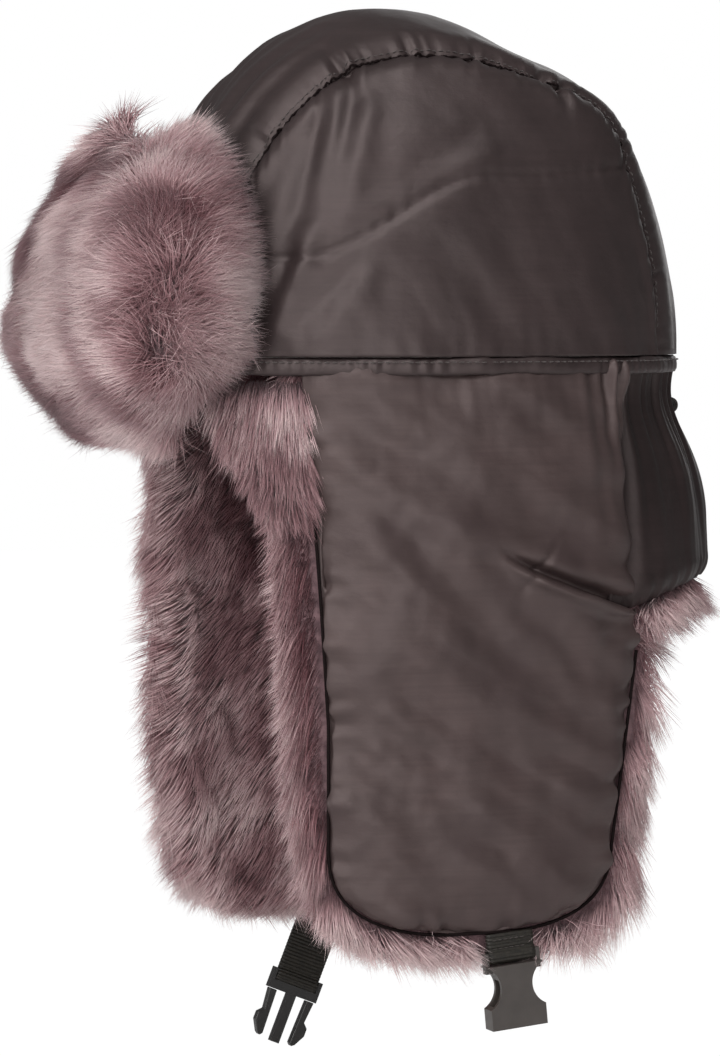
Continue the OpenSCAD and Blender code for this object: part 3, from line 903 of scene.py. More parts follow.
def make_nape():
    """The nape shell: gathered under the hem, padded and flared, with a rolled lower edge."""
    v, u = spans(0, 1, 90, -1, 1, 260)
    bottom = -(84 + 15 * np.abs(u) ** 3) * MM
    z = mix(FLAP_TOP, bottom, v)
    a0 = angle_at(np.full_like(z, 56 * MM), z)
    a = math.pi / 2 - u * (math.pi / 2 - a0)
    p, n = curtain_frame(a, z)
    arc = u * 132 * MM
    edge = np.abs(z - bottom)
    gather = wave(arc / (9 * MM), 71, 7, 0.5) * np.exp(z / (26 * MM)) * 1.7
    long_fold = wave(arc / (26 * MM), 73) * 1.3 * hill(z, -40, 45)
    slack = 1.4 * rough(p * vec(1, 1, 0.5), 36, 9.0)
    ticks = wave(arc / (10 * MM), 75, 6, 0.6) * hill(edge, 0, 7) * 0.8
    roll = -4.0 * (1 - np.clip(edge / (9 * MM), 0, 1)) ** 2
    top_roll = -2.0 * (1 - np.clip((FLAP_TOP - z) / (5 * MM), 0, 1)) ** 2
    under = 3.2 * rise(p[..., 1], 72, 63)
    drawn = 3.0 * hill(z, -12, 16)
    h = (gather + long_fold + slack + ticks + roll + top_roll - 0.6 - under - drawn) * MM
    outer = p + n * np.maximum(h, -5.2 * MM)[..., None]
    shell = slab_mesh("nape_pad", outer, p - n * (7.4 * MM))
    dress(shell, "nape_shell", "crown", ["nape_shell", "nape_batting"])


# ---- Fur ----

DENSITY = 1.0
TEMPLE_HAIRS = int(12000 * DENSITY) // 2
SHORT_HAIRS = int(19000 * DENSITY)
HAIRS_PER_LOCK = 9


def sample_grid(p, n, count, rng):
    """Random points of a grid surface, with normals, spread evenly over its area."""
    a, b, c = p[:-1, :-1], p[:-1, 1:], p[1:, :-1]
    area = np.linalg.norm(np.cross(b - a, c - a), axis=-1)
    flat = area.ravel() / area.sum()
    pick = rng.choice(len(flat), count, p=flat)
    r, q = np.unravel_index(pick, area.shape)
    s, t = rng.random((2, count, 1))

    def at(g):
        top = g[r, q] * (1 - s) + g[r, q + 1] * s
        low = g[r + 1, q] * (1 - s) + g[r + 1, q + 1] * s
        return top * (1 - t) + low * t

    return at(p), unit(at(n))


def nearest(points, centres):
    """Index of the nearest centre for each point."""
    tree = KDTree(len(centres))
    for k, c in enumerate(centres):
        tree.insert(Vector(c), k)
    tree.balance()
    return np.array([tree.find(Vector(p))[1] for p in points])


def hair(name, body, root, normal, flow, length, lift, width, tint, sag=0.15, segs=2, pull=0.45):
    """Thin closed tapered hairs, drawn together into locks.

    flow lies along the skin and lift is the angle off it; segs is the number of bends.
    """
    n = len(root)
    flow = unit(flow - normal * (flow * normal).sum(-1, keepdims=True))
    lift = np.broadcast_to(lift, (n,))[:, None]
    start = unit(normal * np.sin(lift) + flow * np.cos(lift))
    bend = flow * 0.35 - normal * 0.20 - sag * UP
    side = unit(np.cross(start, normal + 0.01))
    up = np.cross(side, start)
    steps = {3: (0.0, 0.38, 0.74, 1.0), 2: (0.0, 0.52, 1.0)}[segs]
    centre = [root + length[:, None] * (start * t + bend * (t * t) * 0.55) for t in steps]
    leaders = np.arange(0, n, HAIRS_PER_LOCK)
    mine = leaders[nearest(root, root[leaders])]
    gap = root - root[mine]
    for i, t in enumerate(steps):
        share = pull * t ** 0.8
        centre[i] = mix(centre[i], centre[i][mine] + gap * (1 - 0.85 * t), share)
    thick = {3: (1.0, 0.9, 0.55), 2: (1.0, 0.8)}[segs]
    count = 3 * segs + 1
    verts = np.zeros((n, count, 3))
    for i in range(segs):
        for k in range(3):
            a = 2 * math.pi * k / 3
            off = (side * math.cos(a) + up * math.sin(a)) * (width * thick[i])[:, None]
            verts[:, i * 3 + k] = centre[i] + off
    verts[:, -1] = centre[-1]
    quads = [(i * 3 + k, i * 3 + (k + 1) % 3, (i + 1) * 3 + (k + 1) % 3, (i + 1) * 3 + k)
             for i in range(segs - 1) for k in range(3)]
    last = 3 * segs - 3
    tris = [(last + k, last + (k + 1) % 3, count - 1) for k in range(3)] + [(2, 1, 0)]
    loops = np.array([v for f in quads + tris for v in f])
    sizes = np.array([4] * len(quads) + [3] * 4)
    all_loops = (loops[None, :] + count * np.arange(n)[:, None]).ravel()
    all_sizes = np.tile(sizes, n)
    starts = np.concatenate([[0], np.cumsum(all_sizes)[:-1]])
    mesh = bpy.data.meshes.new(name)
    mesh.vertices.add(n * count)
    mesh.vertices.foreach_set("co", verts.astype(np.float32).ravel())
    mesh.loops.add(len(all_loops))
    mesh.loops.foreach_set("vertex_index", all_loops.astype(np.int32))
    mesh.polygons.add(len(all_sizes))
    mesh.polygons.foreach_set("loop_start", starts.astype(np.int32))
    mesh.polygons.foreach_set("loop_total", all_sizes.astype(np.int32))
    shade(mesh)
    mesh.update(calc_edges=True)
    heights = np.append(np.repeat(steps[:-1], 3), 1.0)
    data = np.zeros((n, len(loops), 2), np.float32)
    data[:, :, 0] = (0.02 + 0.96 * np.clip(tint, 0, 1))[:, None]
    data[:, :, 1] = (0.02 + 0.96 * heights[loops])[None, :]
    mesh.uv_layers.new(name="OFBake").data.foreach_set("uv", data.ravel())
    dress(add_object(name, mesh), "fur", body)




def hair_width(count, rng):
    return rng.uniform(0.10, 0.20, count) * MM / DENSITY ** 0.5


def lock_flow(p, flow, size, seed, strength):
    """Turns neighbouring hairs towards shared directions, so that the pile breaks into locks."""
    turn = np.stack([rough(p, size, seed + step) for step in (0, 20, 40)], -1)
    return unit(flow) + strength * turn


def tint_of(p, rng, seed):
    """Shade of each hair from 0, pale, to 1, plum."""
    return 0.42 + 0.5 * rough(p, 24, seed) + rng.normal(0, 0.12, len(p))


# ---- Brim ----

BRIM_IN = 8 * MM
BRIM_T = -BRIM_LO.y - CROWN_D - BRIM_IN
HALF_W = 61 * MM


def front_frame(u, half, z):
    """Frames of the front oval; u runs from -1 to 1 over the half width at each height."""
    a0 = np.arccos(np.clip((half / CROWN_A) ** (CROWN_P / 2), 0, 1))
    return oval_frame(front_oval, -math.pi / 2 + u * (math.pi / 2 - a0), z)


def brim_share(z, top):
    """Width of the brim at height z, as a share of its greatest width."""
    upper = (1 - np.clip(z / (top + 6 * MM), 0, 1) ** 4) ** 0.25
    return upper * (1 - 0.42 * rise(z, 20, -26))


def brim_surface(rows, cols, skin):
    """Front and back grids of the brim fur; skin is how far the skin lies under the pile."""
    top, bottom = BRIM_HI.z - skin * 0.7, BRIM_LO.z + skin * 0.45
    w, u = spans(1, -1, rows, 1, -1, cols)
    z = mix(bottom, top, (1 + np.sin(w * math.pi / 2)) / 2)
    base, n = front_frame(u, HALF_W * brim_share(z, top), z)
    v = (z - bottom) / (top - bottom) * 2 - 1
    taper = np.where(v > 0, np.abs(v) ** 2.3, np.abs(v) ** 3)
    ends = np.maximum(0, 1 - taper) ** np.where(v > 0, 0.9, 0.6)
    sides = 1 - 0.5 * np.abs(u) ** 3
    rim = np.maximum(0, 1 - np.abs(u) ** 12) ** 0.5
    depth = (BRIM_T - skin) * ends * sides * (0.25 + 0.75 * rim)
    depth += rough(base + n * 0.02, 42, 3.0) * 2.5 * MM * rim * ends
    depth += 7 * MM * hill(z, 17, 20) * bump(u + 0.35, 0.5)
    lobes = (9 * MM * bump(u + 0.28, 0.22) - 2 * MM) * ease((v - 0.2) / 0.6)
    back = base + n * BRIM_IN + lobes[..., None] * UP
    return back + n * np.maximum(depth, 0)[..., None], back, n


def groove_line(across):
    """Height of the groove that runs below the brim's far rim."""
    return np.interp(across, vec(-167, -154, -141, -123, -110) * MM, vec(44, 59, 77, 88, 95) * MM)


def brim_dents(front, n):
    """Hollows in the pile where it parts, and the groove below the far rim."""
    across, z = front @ ACROSS, front[..., 2]
    h = 4 * MM * hill(across, -93, 11) * hill(z, 56, 13)
    h += 3 * MM * hill(across, -98, 9) * hill(z, 24, 13)
    h += 8 * MM * hill(z - groove_line(across), 0, 8) * hill(across, -134, 16)
    return front - n * h[..., None]


def make_brim():
    front, back, n = brim_surface(90, 150, 13 * MM)
    front = brim_dents(front, n)
    dress(slab_mesh("brim_fur_skin", front, back), "skin", "brim", ["brim_fur"])
    normal = grid_normals(front, n)
    rng = np.random.default_rng(RNG_SEED)
    for i in range(5):
        p, nn = sample_grid(front, normal, SHORT_HAIRS, rng)
        loose = (1 - parting_side(p) ** 2)[:, None]
        flow = brim_flow(p)
        size = np.linalg.norm(flow, axis=-1, keepdims=True)
        flow = flow / (size + 0.15) + rng.normal(0, 1, p.shape) * (0.10 + 0.28 * loose)
        flow = lock_flow(p, flow, 18, 7.0, 0.35)
        length = (16 + 2.0 * rough(p, 20, 2.0) + rng.normal(0, 2.2, SHORT_HAIRS)) * MM
        lift = 0.44 + 0.16 * rough(p, 18, 12.0) + rng.normal(0, 0.12, SHORT_HAIRS)
        streaks = 0.32 * rough(p * vec(0.25, 0.25, 1), 5, 97.0)
        # Each hair's tint: random colour and streaks, plus the brim's painted light and shade.
        tint = tint_of(p, rng, 4.0) + brim_painted_shading(p) + streaks + 0.03
        hair(f"brim_fur_{i}", "brim", p, nn, flow, length, lift, hair_width(SHORT_HAIRS, rng), tint,
             pull=0.3)


ACROSS = vec(0.36, 0.93, 0.0)
PARTING = -96 * MM
HOLLOWS = ((-91, 56, 12), (-98, 26, 9), (-56, 20, 8))


def parting_side(p):
    """From -1 left of the parting to 1 right of it, with a ragged soft change between."""
    across, z = p @ ACROSS, p[:, 2]
    stray = 7 * MM * np.sin(z / (17 * MM) + 0.6) + 16 * MM * rough(p, 15, 90.0)
    return np.tanh((across - PARTING + 0.25 * (z - 40 * MM) + stray) / (24 * MM))


def brim_flow(p):
    """Lie of the brim's pile. It parts near the left end: towards the left end on one side,
    round the front on the other, and it falls towards the lower edge."""
    across, z = p @ ACROSS, p[:, 2]
    side = parting_side(p)
    low, high = rise(z, 14, -22), rise(z, 46, 82)
    right = ACROSS + UP * (0.75 * high - 0.7 * low)[:, None]
    left = UP * (-0.25 * high - 0.95 * low - 0.08)[:, None] - ACROSS - vec(0.35, 0, 0)
    turn = rise(across - PARTING, 0, 60) * low
    right = mix(right, vec(-0.3, -0.5, -1.0), turn[:, None])
    flow = mix(left, right, ((side + 1) / 2)[:, None]) + UP * ((1 - side ** 2) * 0.12)[:, None]
    a, b, size = HOLLOWS[-1]
    da, db = across - a * MM, z - b * MM
    away = (da[:, None] * ACROSS + db[:, None] * UP) / (size * MM)
    return flow + 1.2 * away * (hill(da, 0, 1.6 * size) * hill(db, 0, 1.6 * size))[:, None]


def brim_painted_shading(p):
    """Painted light and shade in the pile's colour: painted shade where the pile parts and in the groove below the
    far rim, a painted pale line of light on the rim above the groove, and painted sheen, paler in the lit bands.
    It is also darker at the top of the far end and along the far lower edge, and paler low at the right.
    """
    across, z = p @ ACROSS, p[:, 2]
    # Painted shade in the hollows where the pile parts.
    part = sum(0.75 * hill(across, a, 1.2 * size) * hill(z, b, 1.1 * size) for a, b, size in HOLLOWS)
    part = part * np.clip(0.75 + 0.9 * rough(p, 9, 95.0), 0.2, 1.3)
    reach = p + 9 * MM * unit(brim_flow(p))
    across, z = reach @ ACROSS, reach[:, 2]
    inside = np.hypot(across + 78 * MM, (z - 38 * MM) * 0.95)
    left = rise(across, -88, -108)
    # Painted sheen bands: paler and darker rings in the pile, and darker low down outside them.
    band = left * (0.26 * hill(inside, 57, 3) + 0.12 * hill(inside, 43, 4))
    band -= left * (0.75 * hill(inside, 67, 7) + 0.40 * hill(inside, 49, 4))
    band += 0.35 * rise(inside, 76, 85) * rise(z, 50, 20)
    line = groove_line(across)
    near = rise(reach[:, 0], -60, -34)
    # Painted shade in the groove below the far rim, and a painted pale line of light on the rim above it.
    groove = 1.9 * near * hill(z - line, 0, 8) * rise(across, -106, -120)
    groove -= 0.9 * near * hill(z - line, 13, 4) * rise(across, -112, -126)
    tuft = 0.6 * rise(z, 97, 105) * rise(across, -112, -122)
    under = 0.6 * rise(z, 4, -12) * rise(across, -88, -108)
    lower_right = -0.2 * rise(across, -100, -80) * rise(z, 40, 20)
    return part + band + groove + tuft + under + lower_right - 0.13


def make_brim_cloth():
    """Backing cloth and stiffener behind the brim fur."""
    for name, near, far, less, material, slot, node in (
            ("brim_backing_cloth", 3.6, 4.8, 6, "shell", "shell_cloth", "brim_backing"),
            ("brim_interlining", 5.3, 6.5, 10, "stiffener", "stiffener", "brim_stiffener")):
        lo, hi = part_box(node)
        w, u = spans(1, -1, 60, 1, -1, 120)
        z = mix(lo.z + (less - 6) * MM, hi.z - less * MM, (w + 1) / 2)
        base, n = front_frame(u, (HALF_W - (less + 1) * MM) * brim_share(z, hi.z), z)
        ripple = rough(base, 30, 14.0)[..., None] * 0.25 * MM
        obj = slab_mesh(name, base + n * (far * MM + ripple), base + n * (near * MM + ripple))
        dress(obj, material, "brim", [node])


def make_brim_turn():
    """The cloth that joins the brim's lower edge to the hem."""
    v, u = spans(0, 1, 24, -0.82, 0.82, 100)
    out = np.interp(v, (0, 0.4, 1), (-0.8, 1.6, 5.2)) * MM
    z = np.interp(v, (0, 0.4, 1), (3, -6, -9)) * MM
    base, n = front_frame(u, HALF_W * 0.62, z)
    outer = base + n * out[..., None]
    half = grid_normals(outer, n) * 0.25 * MM
    dress(slab_mesh("brim_turn_cloth", outer + half, outer - half), "shell")
    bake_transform(bpy.data.objects["brim_turn_cloth"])


# ---- Flap and nape fur ----

def fur_pillow(p, n, edge):
    """Rounded fur skin: flat against the shell, swelling inwards, thin at its edges."""
    gap, pile = 8.9 * MM, 6 * MM
    round_ = np.clip(edge / (12 * MM), 0, 1)
    swell = (FUR_T - pile) * (1 - (1 - round_) ** 2.2) ** 0.5
    swell = swell + rough(p, 30, 8.0) * 2.0 * MM * round_
    return p - n * gap, p - n * (gap + 1.5 * MM + np.maximum(swell, 0))[..., None]


def make_flap_fur(side, name, body):
    p, n, edge = flap_grid(9 * MM, FUR_LEDGE, SWAY[side], 76, (7.5 if side > 0 else 12) * MM)
    outer, inner = fur_pillow(p, n, edge)
    flip = vec(side, 1, 1)
    skin = slab_mesh(f"{name}_fur_skin", outer * flip, inner * flip)
    dress(skin, "skin", None, [f"{name}_flap_fur"])
    fold_blend(skin)
    rng = np.random.default_rng(RNG_SEED + 2 + side)
    inside = grid_normals(inner, -n)
    for i in range(1 if side > 0 else 2):
        q, nn = sample_grid(inner, inside, SHORT_HAIRS, rng)
        away = unit(q * vec(1, 1, 0))
        nn = nn - 2 * away * np.maximum((nn * away).sum(-1, keepdims=True), 0)
        out = xyz(0, q[:, 1], np.minimum(q[:, 2] + 120 * MM, 0))
        at_edge = rise(np.abs(q[:, 1]), 45, 80)
        flow = vec(0, -0.75, -0.65) + unit(out) * at_edge[:, None]
        flow = lock_flow(q, flow, 24, 5.0 + side, 0.3) + rng.normal(0, 0.10, q.shape)
        length = (13 + 1.5 * rough(q, 18, 6.0) + rng.normal(0, 1.8, SHORT_HAIRS)) * MM
        lift = 0.46 + 0.14 * rough(q, 16, 16.0) + rng.normal(0, 0.09, SHORT_HAIRS)
        # Painted shade: the pile is darker towards the rear, and much darker high up at the rear, for the shade
        # inside the hat under the brim.
        dark = 0.2 * rise(q[:, 1], -72, -27) + 0.55 * rise(q[:, 2], -130, -60) * rise(q[:, 1], -82, -42)
        hair(f"{name}_fur_{i}", body, q * flip, nn * flip, flow * flip, length, lift,
             hair_width(SHORT_HAIRS, rng) * 1.1, tint_of(q, rng, 9.0) + dark - 0.1, pull=0.22)
    make_rim_fur(side, name, body, outer, inner, n, rng)


def make_rim_fur(side, name, body, outer, inner, n, rng):
    """The band of pile that shows all round the edge of the shell."""
    flip = vec(side, 1, 1)
    rows, cols = outer.shape[:2]
    ring = [(r, cols - 1) for r in range(rows)] + [(rows - 1, c) for c in range(cols - 2, 0, -1)]
    ring += [(r, 0) for r in range(rows - 1, -1, -1)]
    a, b, nn = (grid[tuple(zip(*ring))] for grid in (outer, inner, n))
    tangent = unit(np.gradient(a, axis=0))
    out = unit(np.cross(tangent, nn))
    out = out * np.sign(((a - a.mean(0)) * out).sum(-1, keepdims=True))
    count = SHORT_HAIRS
    dist = run_lengths(a)
    d = rng.random(count) * dist[-1]
    t = rng.random((count, 1)) ** 1.2
    inset = rng.random((count, 1)) ** 0.8 * 12 * MM
    edge, deep, o, nout = (at_length(d, dist, path) for path in (a, b, out, nn))
    o, nout = unit(o), unit(nout)
    q = mix(edge, deep, t * 0.9) - o * inset * (1 - 0.5 * t) + nout * 0.5 * MM * (1 - t)
    normal = unit(o * 0.8 + nout * (0.55 - t))
    flow = o * 0.9 + nout * 0.1 + vec(0, 0, -0.75)
    flow = lock_flow(q, flow, 16, 25.0, 0.4) + rng.normal(0, 0.08, q.shape)
    length = (14 + 2 * rough(q, 14, 26.0) + rng.normal(0, 1.8, count)) * MM + inset[:, 0] * 0.4
    ledge = FUR_LEDGE + np.where(t[:, 0] > 0.5, 14, 6) * MM
    hidden = (q[:, 1] > 35 * MM) & (q[:, 2] > ledge)
    hidden |= (np.abs(q[:, 1] - STRAP_Y[side]) < 15 * MM) & (t[:, 0] < 0.9) & (q[:, 2] < -200 * MM)
    hidden |= (q[:, 1] > 20 * MM) & (inset[:, 0] > 6 * MM) & (q[:, 2] > -150 * MM)
    hidden |= (q[:, 1] > 20 * MM) & (q[:, 1] < 62 * MM) & (q[:, 2] > -135 * MM)
    strap = bump(q[:, 1] - STRAP_Y[side], 15 * MM) * rise(q[:, 2], -205, -217)
    rear = rise(q[:, 1], 25, 45) * (1 - inset[:, 0] / (14 * MM))
    length = length * (1 - 0.7 * strap) + 5 * MM * rear
    # Painted shade: the pile of the front strip is darker at mid height, for the shade of its fold; painted light:
    # the lowest pile is paler, to lift it out of the shade under the shell's edge.
    fold_ = 1.15 * bump(t[:, 0] - 0.45, 0.4) * hill(q[:, 2], -102, 66) * (q[:, 1] < 0)
    fold_ = fold_ - 0.55 * rise(q[:, 2], -196, -216)
    lift = 0.48 + rng.normal(0, 0.12, count)
    width = hair_width(count, rng) * 1.1
    tint = tint_of(q, rng, 30.0) - 0.3 + fold_
    hair(f"{name}_rim_fur", body, *keep(~hidden, q * flip, normal * flip, flow * flip, length, lift,
                                        width, tint), sag=0.25)


def make_temple_fur(side, name, body):
    """Long pale pile that spills out between the brim's end and the flap's front corner."""
    rng = np.random.default_rng(RNG_SEED + 40 + side)
    count = TEMPLE_HAIRS
    down = 1 - np.sqrt(1 - rng.random(count))
    z = -2 * MM - down * 58 * MM
    y = -73 * MM - rng.random(count) * mix(30, 15, down) * MM
    p, n = curtain_frame(angle_at(y, z), z)
    p = p - n * rng.uniform(2, 9, (count, 1)) * MM
    spread = ((y + 86 * MM) / (12 * MM))[:, None]
    flow = vec(0.0, 0.05, -1.0) + spread * vec(0, 0.4, 0) + rng.normal(0, 0.12, p.shape)
    flow = lock_flow(p, flow, 12, 61.0, 0.4)
    length = (16 + 3 * rough(p, 9, 63.0) + rng.normal(0, 2.5, count)) * MM * (1 - 0.4 * down)
    lift = 0.40 + rng.normal(0, 0.11, count)
    flip = vec(side, 1, 1)
    hair(f"{name}_temple_fur", body, p * flip, n * flip, flow * flip, length, lift,
         hair_width(count, rng), tint_of(p, rng, 62.0) - 0.30 + 0.75 * down, segs=3)


def make_nape_fur():
    v, u = spans(0, 1, 40, -1, 1, 130)
    bottom = -(84 + 7 + 15 * np.abs(u) ** 3) * MM
    z = mix(-4 * MM, bottom, v)
    a0 = angle_at(np.full_like(z, 60 * MM), z)
    p, n = curtain_frame(math.pi / 2 - u * (math.pi / 2 - a0), z)
    outer, inner = fur_pillow(p, n, np.abs(z - bottom))
    skin = slab_mesh("nape_fur_skin", outer, inner)
    dress(skin, "skin", "crown", ["nape_fur"])
    rng = np.random.default_rng(RNG_SEED + 9)
    inside = grid_normals(inner, -n)
    q, nn = sample_grid(inner, inside, SHORT_HAIRS, rng)
    covered = (q[:, 1] < 78 * MM) & (q[:, 2] < -66 * MM)
    q, nn = keep(~covered, q, nn)
    flow = lock_flow(q, -UP, 16, 45.0, 0.4) + rng.normal(0, 0.08, q.shape)
    length = (18 + 4 * rough(q, 18, 46.0) + rng.normal(0, 2, len(q))) * MM
    lift = 0.34 + rng.normal(0, 0.07, len(q))
    hair("nape_fur_pile", "crown", q, nn, flow, length, lift, hair_width(len(q), rng) * 1.15,
         tint_of(q, rng, 47.0) + 0.2)
    make_nape_rim(outer, inner, n, rng)


def make_nape_rim(outer, inner, n, rng):
    """The edge of the lining's pile that shows below the nape."""
    cols = outer.shape[1]
    count = SHORT_HAIRS * 2 // 3
    c = rng.random(count) * (cols - 1)
    k = np.minimum(c.astype(int), cols - 2)
    w = (c - k)[:, None]
    base, low, nout = (mix(g[-1, k], g[-1, k + 1], w) for g in (outer, inner, n))
    nout = unit(nout)
    t = rng.random((count, 1))
    q = mix(base, low, t * 0.9) + UP * rng.random((count, 1)) * 8 * MM
    normal = unit(nout * (0.55 - t) + vec(0, 0, -0.8))
    flow = lock_flow(q, nout * -0.12 - UP, 14, 48.0, 0.4)
    flow = flow + rng.normal(0, 0.1, q.shape)
    length = (15 + 3 * rough(q, 14, 49.0) + rng.normal(0, 1.5, count)) * MM
    length = length + 5 * MM * np.abs(2 * c / (cols - 1) - 1) ** 6
    lift, width = 0.5 + rng.normal(0, 0.1, count), hair_width(count, rng) * 1.1
    tint = tint_of(q, rng, 50.0) - 0.1
    seen = q[:, 1] > 69 * MM
    hair("nape_rim_fur", "crown", *keep(seen, q, normal, flow, length, lift, width, tint), sag=0.25)


def make_elastic():
    lo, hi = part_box("nape_elastic")
    v, u = spans(0, 1, 12, -1, 1, 200)
    p, n = curtain_frame(math.pi / 2 - u * math.radians(50), mix(hi.z, lo.z, v))
    ribs = (0.12 * np.sin(u * 400))[..., None] * MM
    obj = slab_mesh("gathering_elastic", p - n * (6.0 * MM + ribs), p - n * (6.9 * MM + ribs))
    dress(obj, "elastic", "crown", ["nape_elastic"])


# ---- Straps and buckle ----

WEB_T = 1.3 * MM
WEB_W = 20 * MM
DROP = {1: 11 * MM, -1: 44 * MM}


def strap_place(side):
    """Matrix from a strap drawn hanging straight down to where its joint is."""
    joint = JOINTS["left_strap_swing" if side > 0 else "right_strap_swing"]
    ax = joint["axis"]
    lean = math.atan2(ax[2], ax[1]) if side < 0 else math.atan2(-ax[2], -ax[1])
    return Matrix.Translation(joint["pos_m"]) @ Matrix.Rotation(lean, 4, "X")


def ribbon(path, across, half, order):
    """Both faces of a band along a flat path; order puts path, across, path into x, y, z."""
    tan = unit(np.gradient(path, axis=0))
    normal = np.stack([tan[:, 1], -tan[:, 0]], -1)
    grids = []
    for sign in (1, -1):
        first, last = (path[:, i][:, None] + normal[:, i][:, None] * half * sign for i in (0, 1))
        parts = (first, across[None, :], last)
        grids.append(xyz(*(parts[k] for k in order)))
    return grids


def make_strap(side, name):
    """One length of ribbed webbing that comes down, turns round the bar and goes back up."""
    r, top = 1.58 * MM + WEB_T / 2, (-1.5 if side > 0 else 9) * MM
    drop = DROP[side] + (0 if side > 0 else 0.9 * MM)
    x, steps = WEB_T / 2 + 0.05 * MM, np.linspace(0, 1, 60)
    path = [(x, mix(top, r * 1.3 - drop, t)) for t in steps]
    path += [(r * math.cos(a), -drop - r * math.sin(a)) for a in np.linspace(-0.55, math.pi + 0.55, 40)]
    path = np.array(path + [(-x, mix(r * 1.3 - drop, top, t)) for t in steps])
    dist = run_lengths(path)
    total = np.arange(0, dist[-1], 0.2 * MM)
    w = np.linspace(-1, 1, 40)
    rib = 0.5 * MM * np.abs(np.sin(total / (1.5 * MM) * math.pi))[:, None]
    cords = 0.05 * MM * np.cos(w * 46)
    edge = 0.35 * MM * (np.abs(w) > 0.93)
    half = WEB_T / 2 - 0.42 * MM + rib + cords - edge
    obj = slab_mesh(f"{name}_webbing", *ribbon(at_length(total, dist, path), w * WEB_W / 2, half, (0, 1, 2)))
    place = strap_place(side)
    obj.data.transform(place)
    dress(obj, "webbing", f"{name}_strap", [f"{name}_strap"])
    turn = np.array(place)
    for k, z in enumerate((-4, -7.5)):
        pts = np.linspace([0, -8, z], [0, 8, z], 40) * MM
        pts[:, 0] = side * (WEB_T + 0.12 * MM)
        out = np.repeat([[float(side), 0, 0]], 40, 0)
        stitches(f"{name}_strap_stitch_{k}", pts @ turn[:3, :3].T + turn[:3, 3], out, f"{name}_strap",
                 2.4, 1.7, 0.2)


def soft_edged(name, material, body, width):
    """A copy of a moulded CAD part with its edges rounded over by width mm."""
    node = f"buckle_{body}"
    obj = add_object(name, frame["nodes"][node].data.copy())
    bm = bmesh.new()
    bm.from_mesh(obj.data)
    bmesh.ops.remove_doubles(bm, verts=bm.verts, dist=1e-6)
    bmesh.ops.dissolve_limit(bm, angle_limit=math.radians(3), verts=bm.verts, edges=bm.edges)
    bm.to_mesh(obj.data)
    bm.free()
    mod = obj.modifiers.new("bevel", "BEVEL")
    mod.width = width * MM
    mod.segments = 3
    mod.limit_method = "ANGLE"
    mod.angle_limit = math.radians(35)
    apply_modifiers(obj)
    shade(obj.data, False)
    dress(obj, material, body, [node])


def make_buckles():
    soft_edged("socket_moulding", "plastic", "socket", 0.45)
    for body in ("plug", "prong_front", "prong_rear"):
        soft_edged(f"{body}_moulding", "black", body, 0.3)


def make_loop():
    """The hanging loop: a tape folded round an open eye, its ends sunk into the nape."""
    lo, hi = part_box("hanger_loop")
    mount = next(m for m in frame["record"]["mounts"] if m["name"] == "hanger_eye")
    c = Vector(mount["pos_m"])
    r = mount["dims"]["r_mm"] * MM + 0.65 * MM
    sunk = c.y - r - 7 * MM
    leg = mix(sunk, c.y - r, 0.7)
    pts = [(sunk, hi.z), (leg, hi.z - 0.5 * MM), (c.y - r, mix(hi.z, c.z + 2 * MM, 0.8))]
    pts += [(c.y + r * math.cos(a), c.z + r * math.sin(a)) for a in np.radians(np.linspace(100, -100, 26))]
    pts += [(c.y - r, mix(lo.z, c.z - 2 * MM, 0.8)), (leg, lo.z + 0.5 * MM), (sunk, lo.z)]
    w = np.linspace(lo.x, hi.x, 9)
    half = 0.6 * MM - 0.15 * MM * (np.abs(w) > 0.9 * hi.x)
    obj = slab_mesh("hanging_loop_tape", *ribbon(np.array(pts), w, half, (1, 0, 2)))
    dress(obj, "tape", "crown", ["hanger_loop"])


# ---- Stage ----

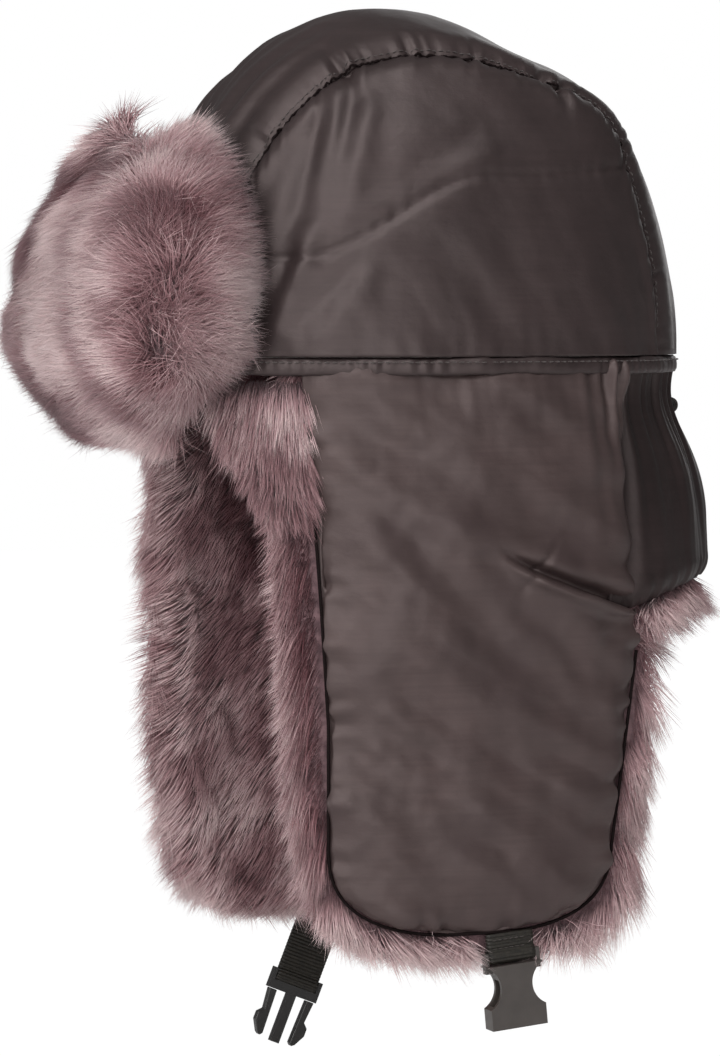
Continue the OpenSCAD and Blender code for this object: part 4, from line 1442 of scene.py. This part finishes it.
def make_stage():
    floor_z = -0.312
    mesh = bpy.data.meshes.new("floor")
    corners = [(-4, -4), (4, -4), (4, 4), (-4, 4)]
    mesh.from_pydata([(x, y, floor_z) for x, y in corners], [], [(0, 1, 2, 3)])
    floor = add_object("floor", mesh)
    n = Nodes("pale_floor")
    tone = n.ramp(n.noise(n.coords(), 6, 2), (0.0, (0.9, 0.9, 0.9)), (1.0, (0.94, 0.94, 0.94)))
    floor.data.materials.append(n.set(Base_Color=tone, Roughness=0.9))
    glow = n.add("Emission", Strength=1.03).outputs["Emission"]
    n.by_camera(n.tree.nodes["Principled BSDF"].outputs["BSDF"], glow, "Material Output", 0.97)
    n = Nodes("studio", bpy.data.worlds)
    bpy.context.scene.world = n.mat
    white = (1, 1, 1)
    ambient, backdrop = (n.add("Background", Color=white, Strength=power).outputs["Background"]
                         for power in (0.18, 1.0))
    n.by_camera(ambient, backdrop, "World Output")
    for name, place, size, power in (
            ("key", (1.2, -1.6, 0.8), 1.3, 29), ("camera", (1.9, -0.5, -0.2), 1.0, 20),
            ("top", (1.0, -0.4, 1.6), 1.0, 24), ("front", (-0.6, -1.7, 0.1), 1.0, 11),
            ("rear", (-1.6, 1.3, 0.6), 1.2, 8)):
        light = bpy.data.lights.new(name, "AREA")
        light.energy, light.size = power, size
        obj = add_object(name, light)
        obj.location = place
        obj.rotation_mode = "QUATERNION"
        obj.rotation_quaternion = (Vector((0, 0, -0.06)) - Vector(place)).to_track_quat("-Z", "Y")


CAM_AZ, CAM_EL, CAM_DIST = math.radians(69), math.radians(3), 1.9


def make_camera():
    cam = add_object("camera", bpy.data.cameras.new("camera"))
    level = math.cos(CAM_EL)
    back = Vector((math.sin(CAM_AZ) * level, -math.cos(CAM_AZ) * level, math.sin(CAM_EL)))
    right = Vector((math.cos(CAM_AZ), math.sin(CAM_AZ), 0))
    target = right * -0.0192 + Vector((0, 0, -0.0657))
    cam.rotation_mode = "QUATERNION"
    cam.location = target + back * CAM_DIST
    cam.rotation_quaternion = (-back).to_track_quat("-Z", "Y")
    cam.data.sensor_fit = "AUTO"
    cam.data.sensor_width = 36
    cam.data.lens = 36 * CAM_DIST / 0.444
    cam.data.clip_end = 20
    bpy.context.scene.camera = cam
    bpy.context.scene.view_settings.view_transform = "Standard"


def main():
    make_crown()
    make_crown_inside()
    make_band()
    make_topstitch()
    make_nape()
    make_elastic()
    make_nape_fur()
    for side, name in SIDES:
        for make in (flap_pad, flap_seam_shadow, make_flap_fur, make_temple_fur):
            make(side, name, f"{name}_flap")
        make_strap(side, name)
    make_brim()
    make_brim_cloth()
    make_brim_turn()
    make_buckles()
    make_loop()
    make_stage()
    make_camera()


main()
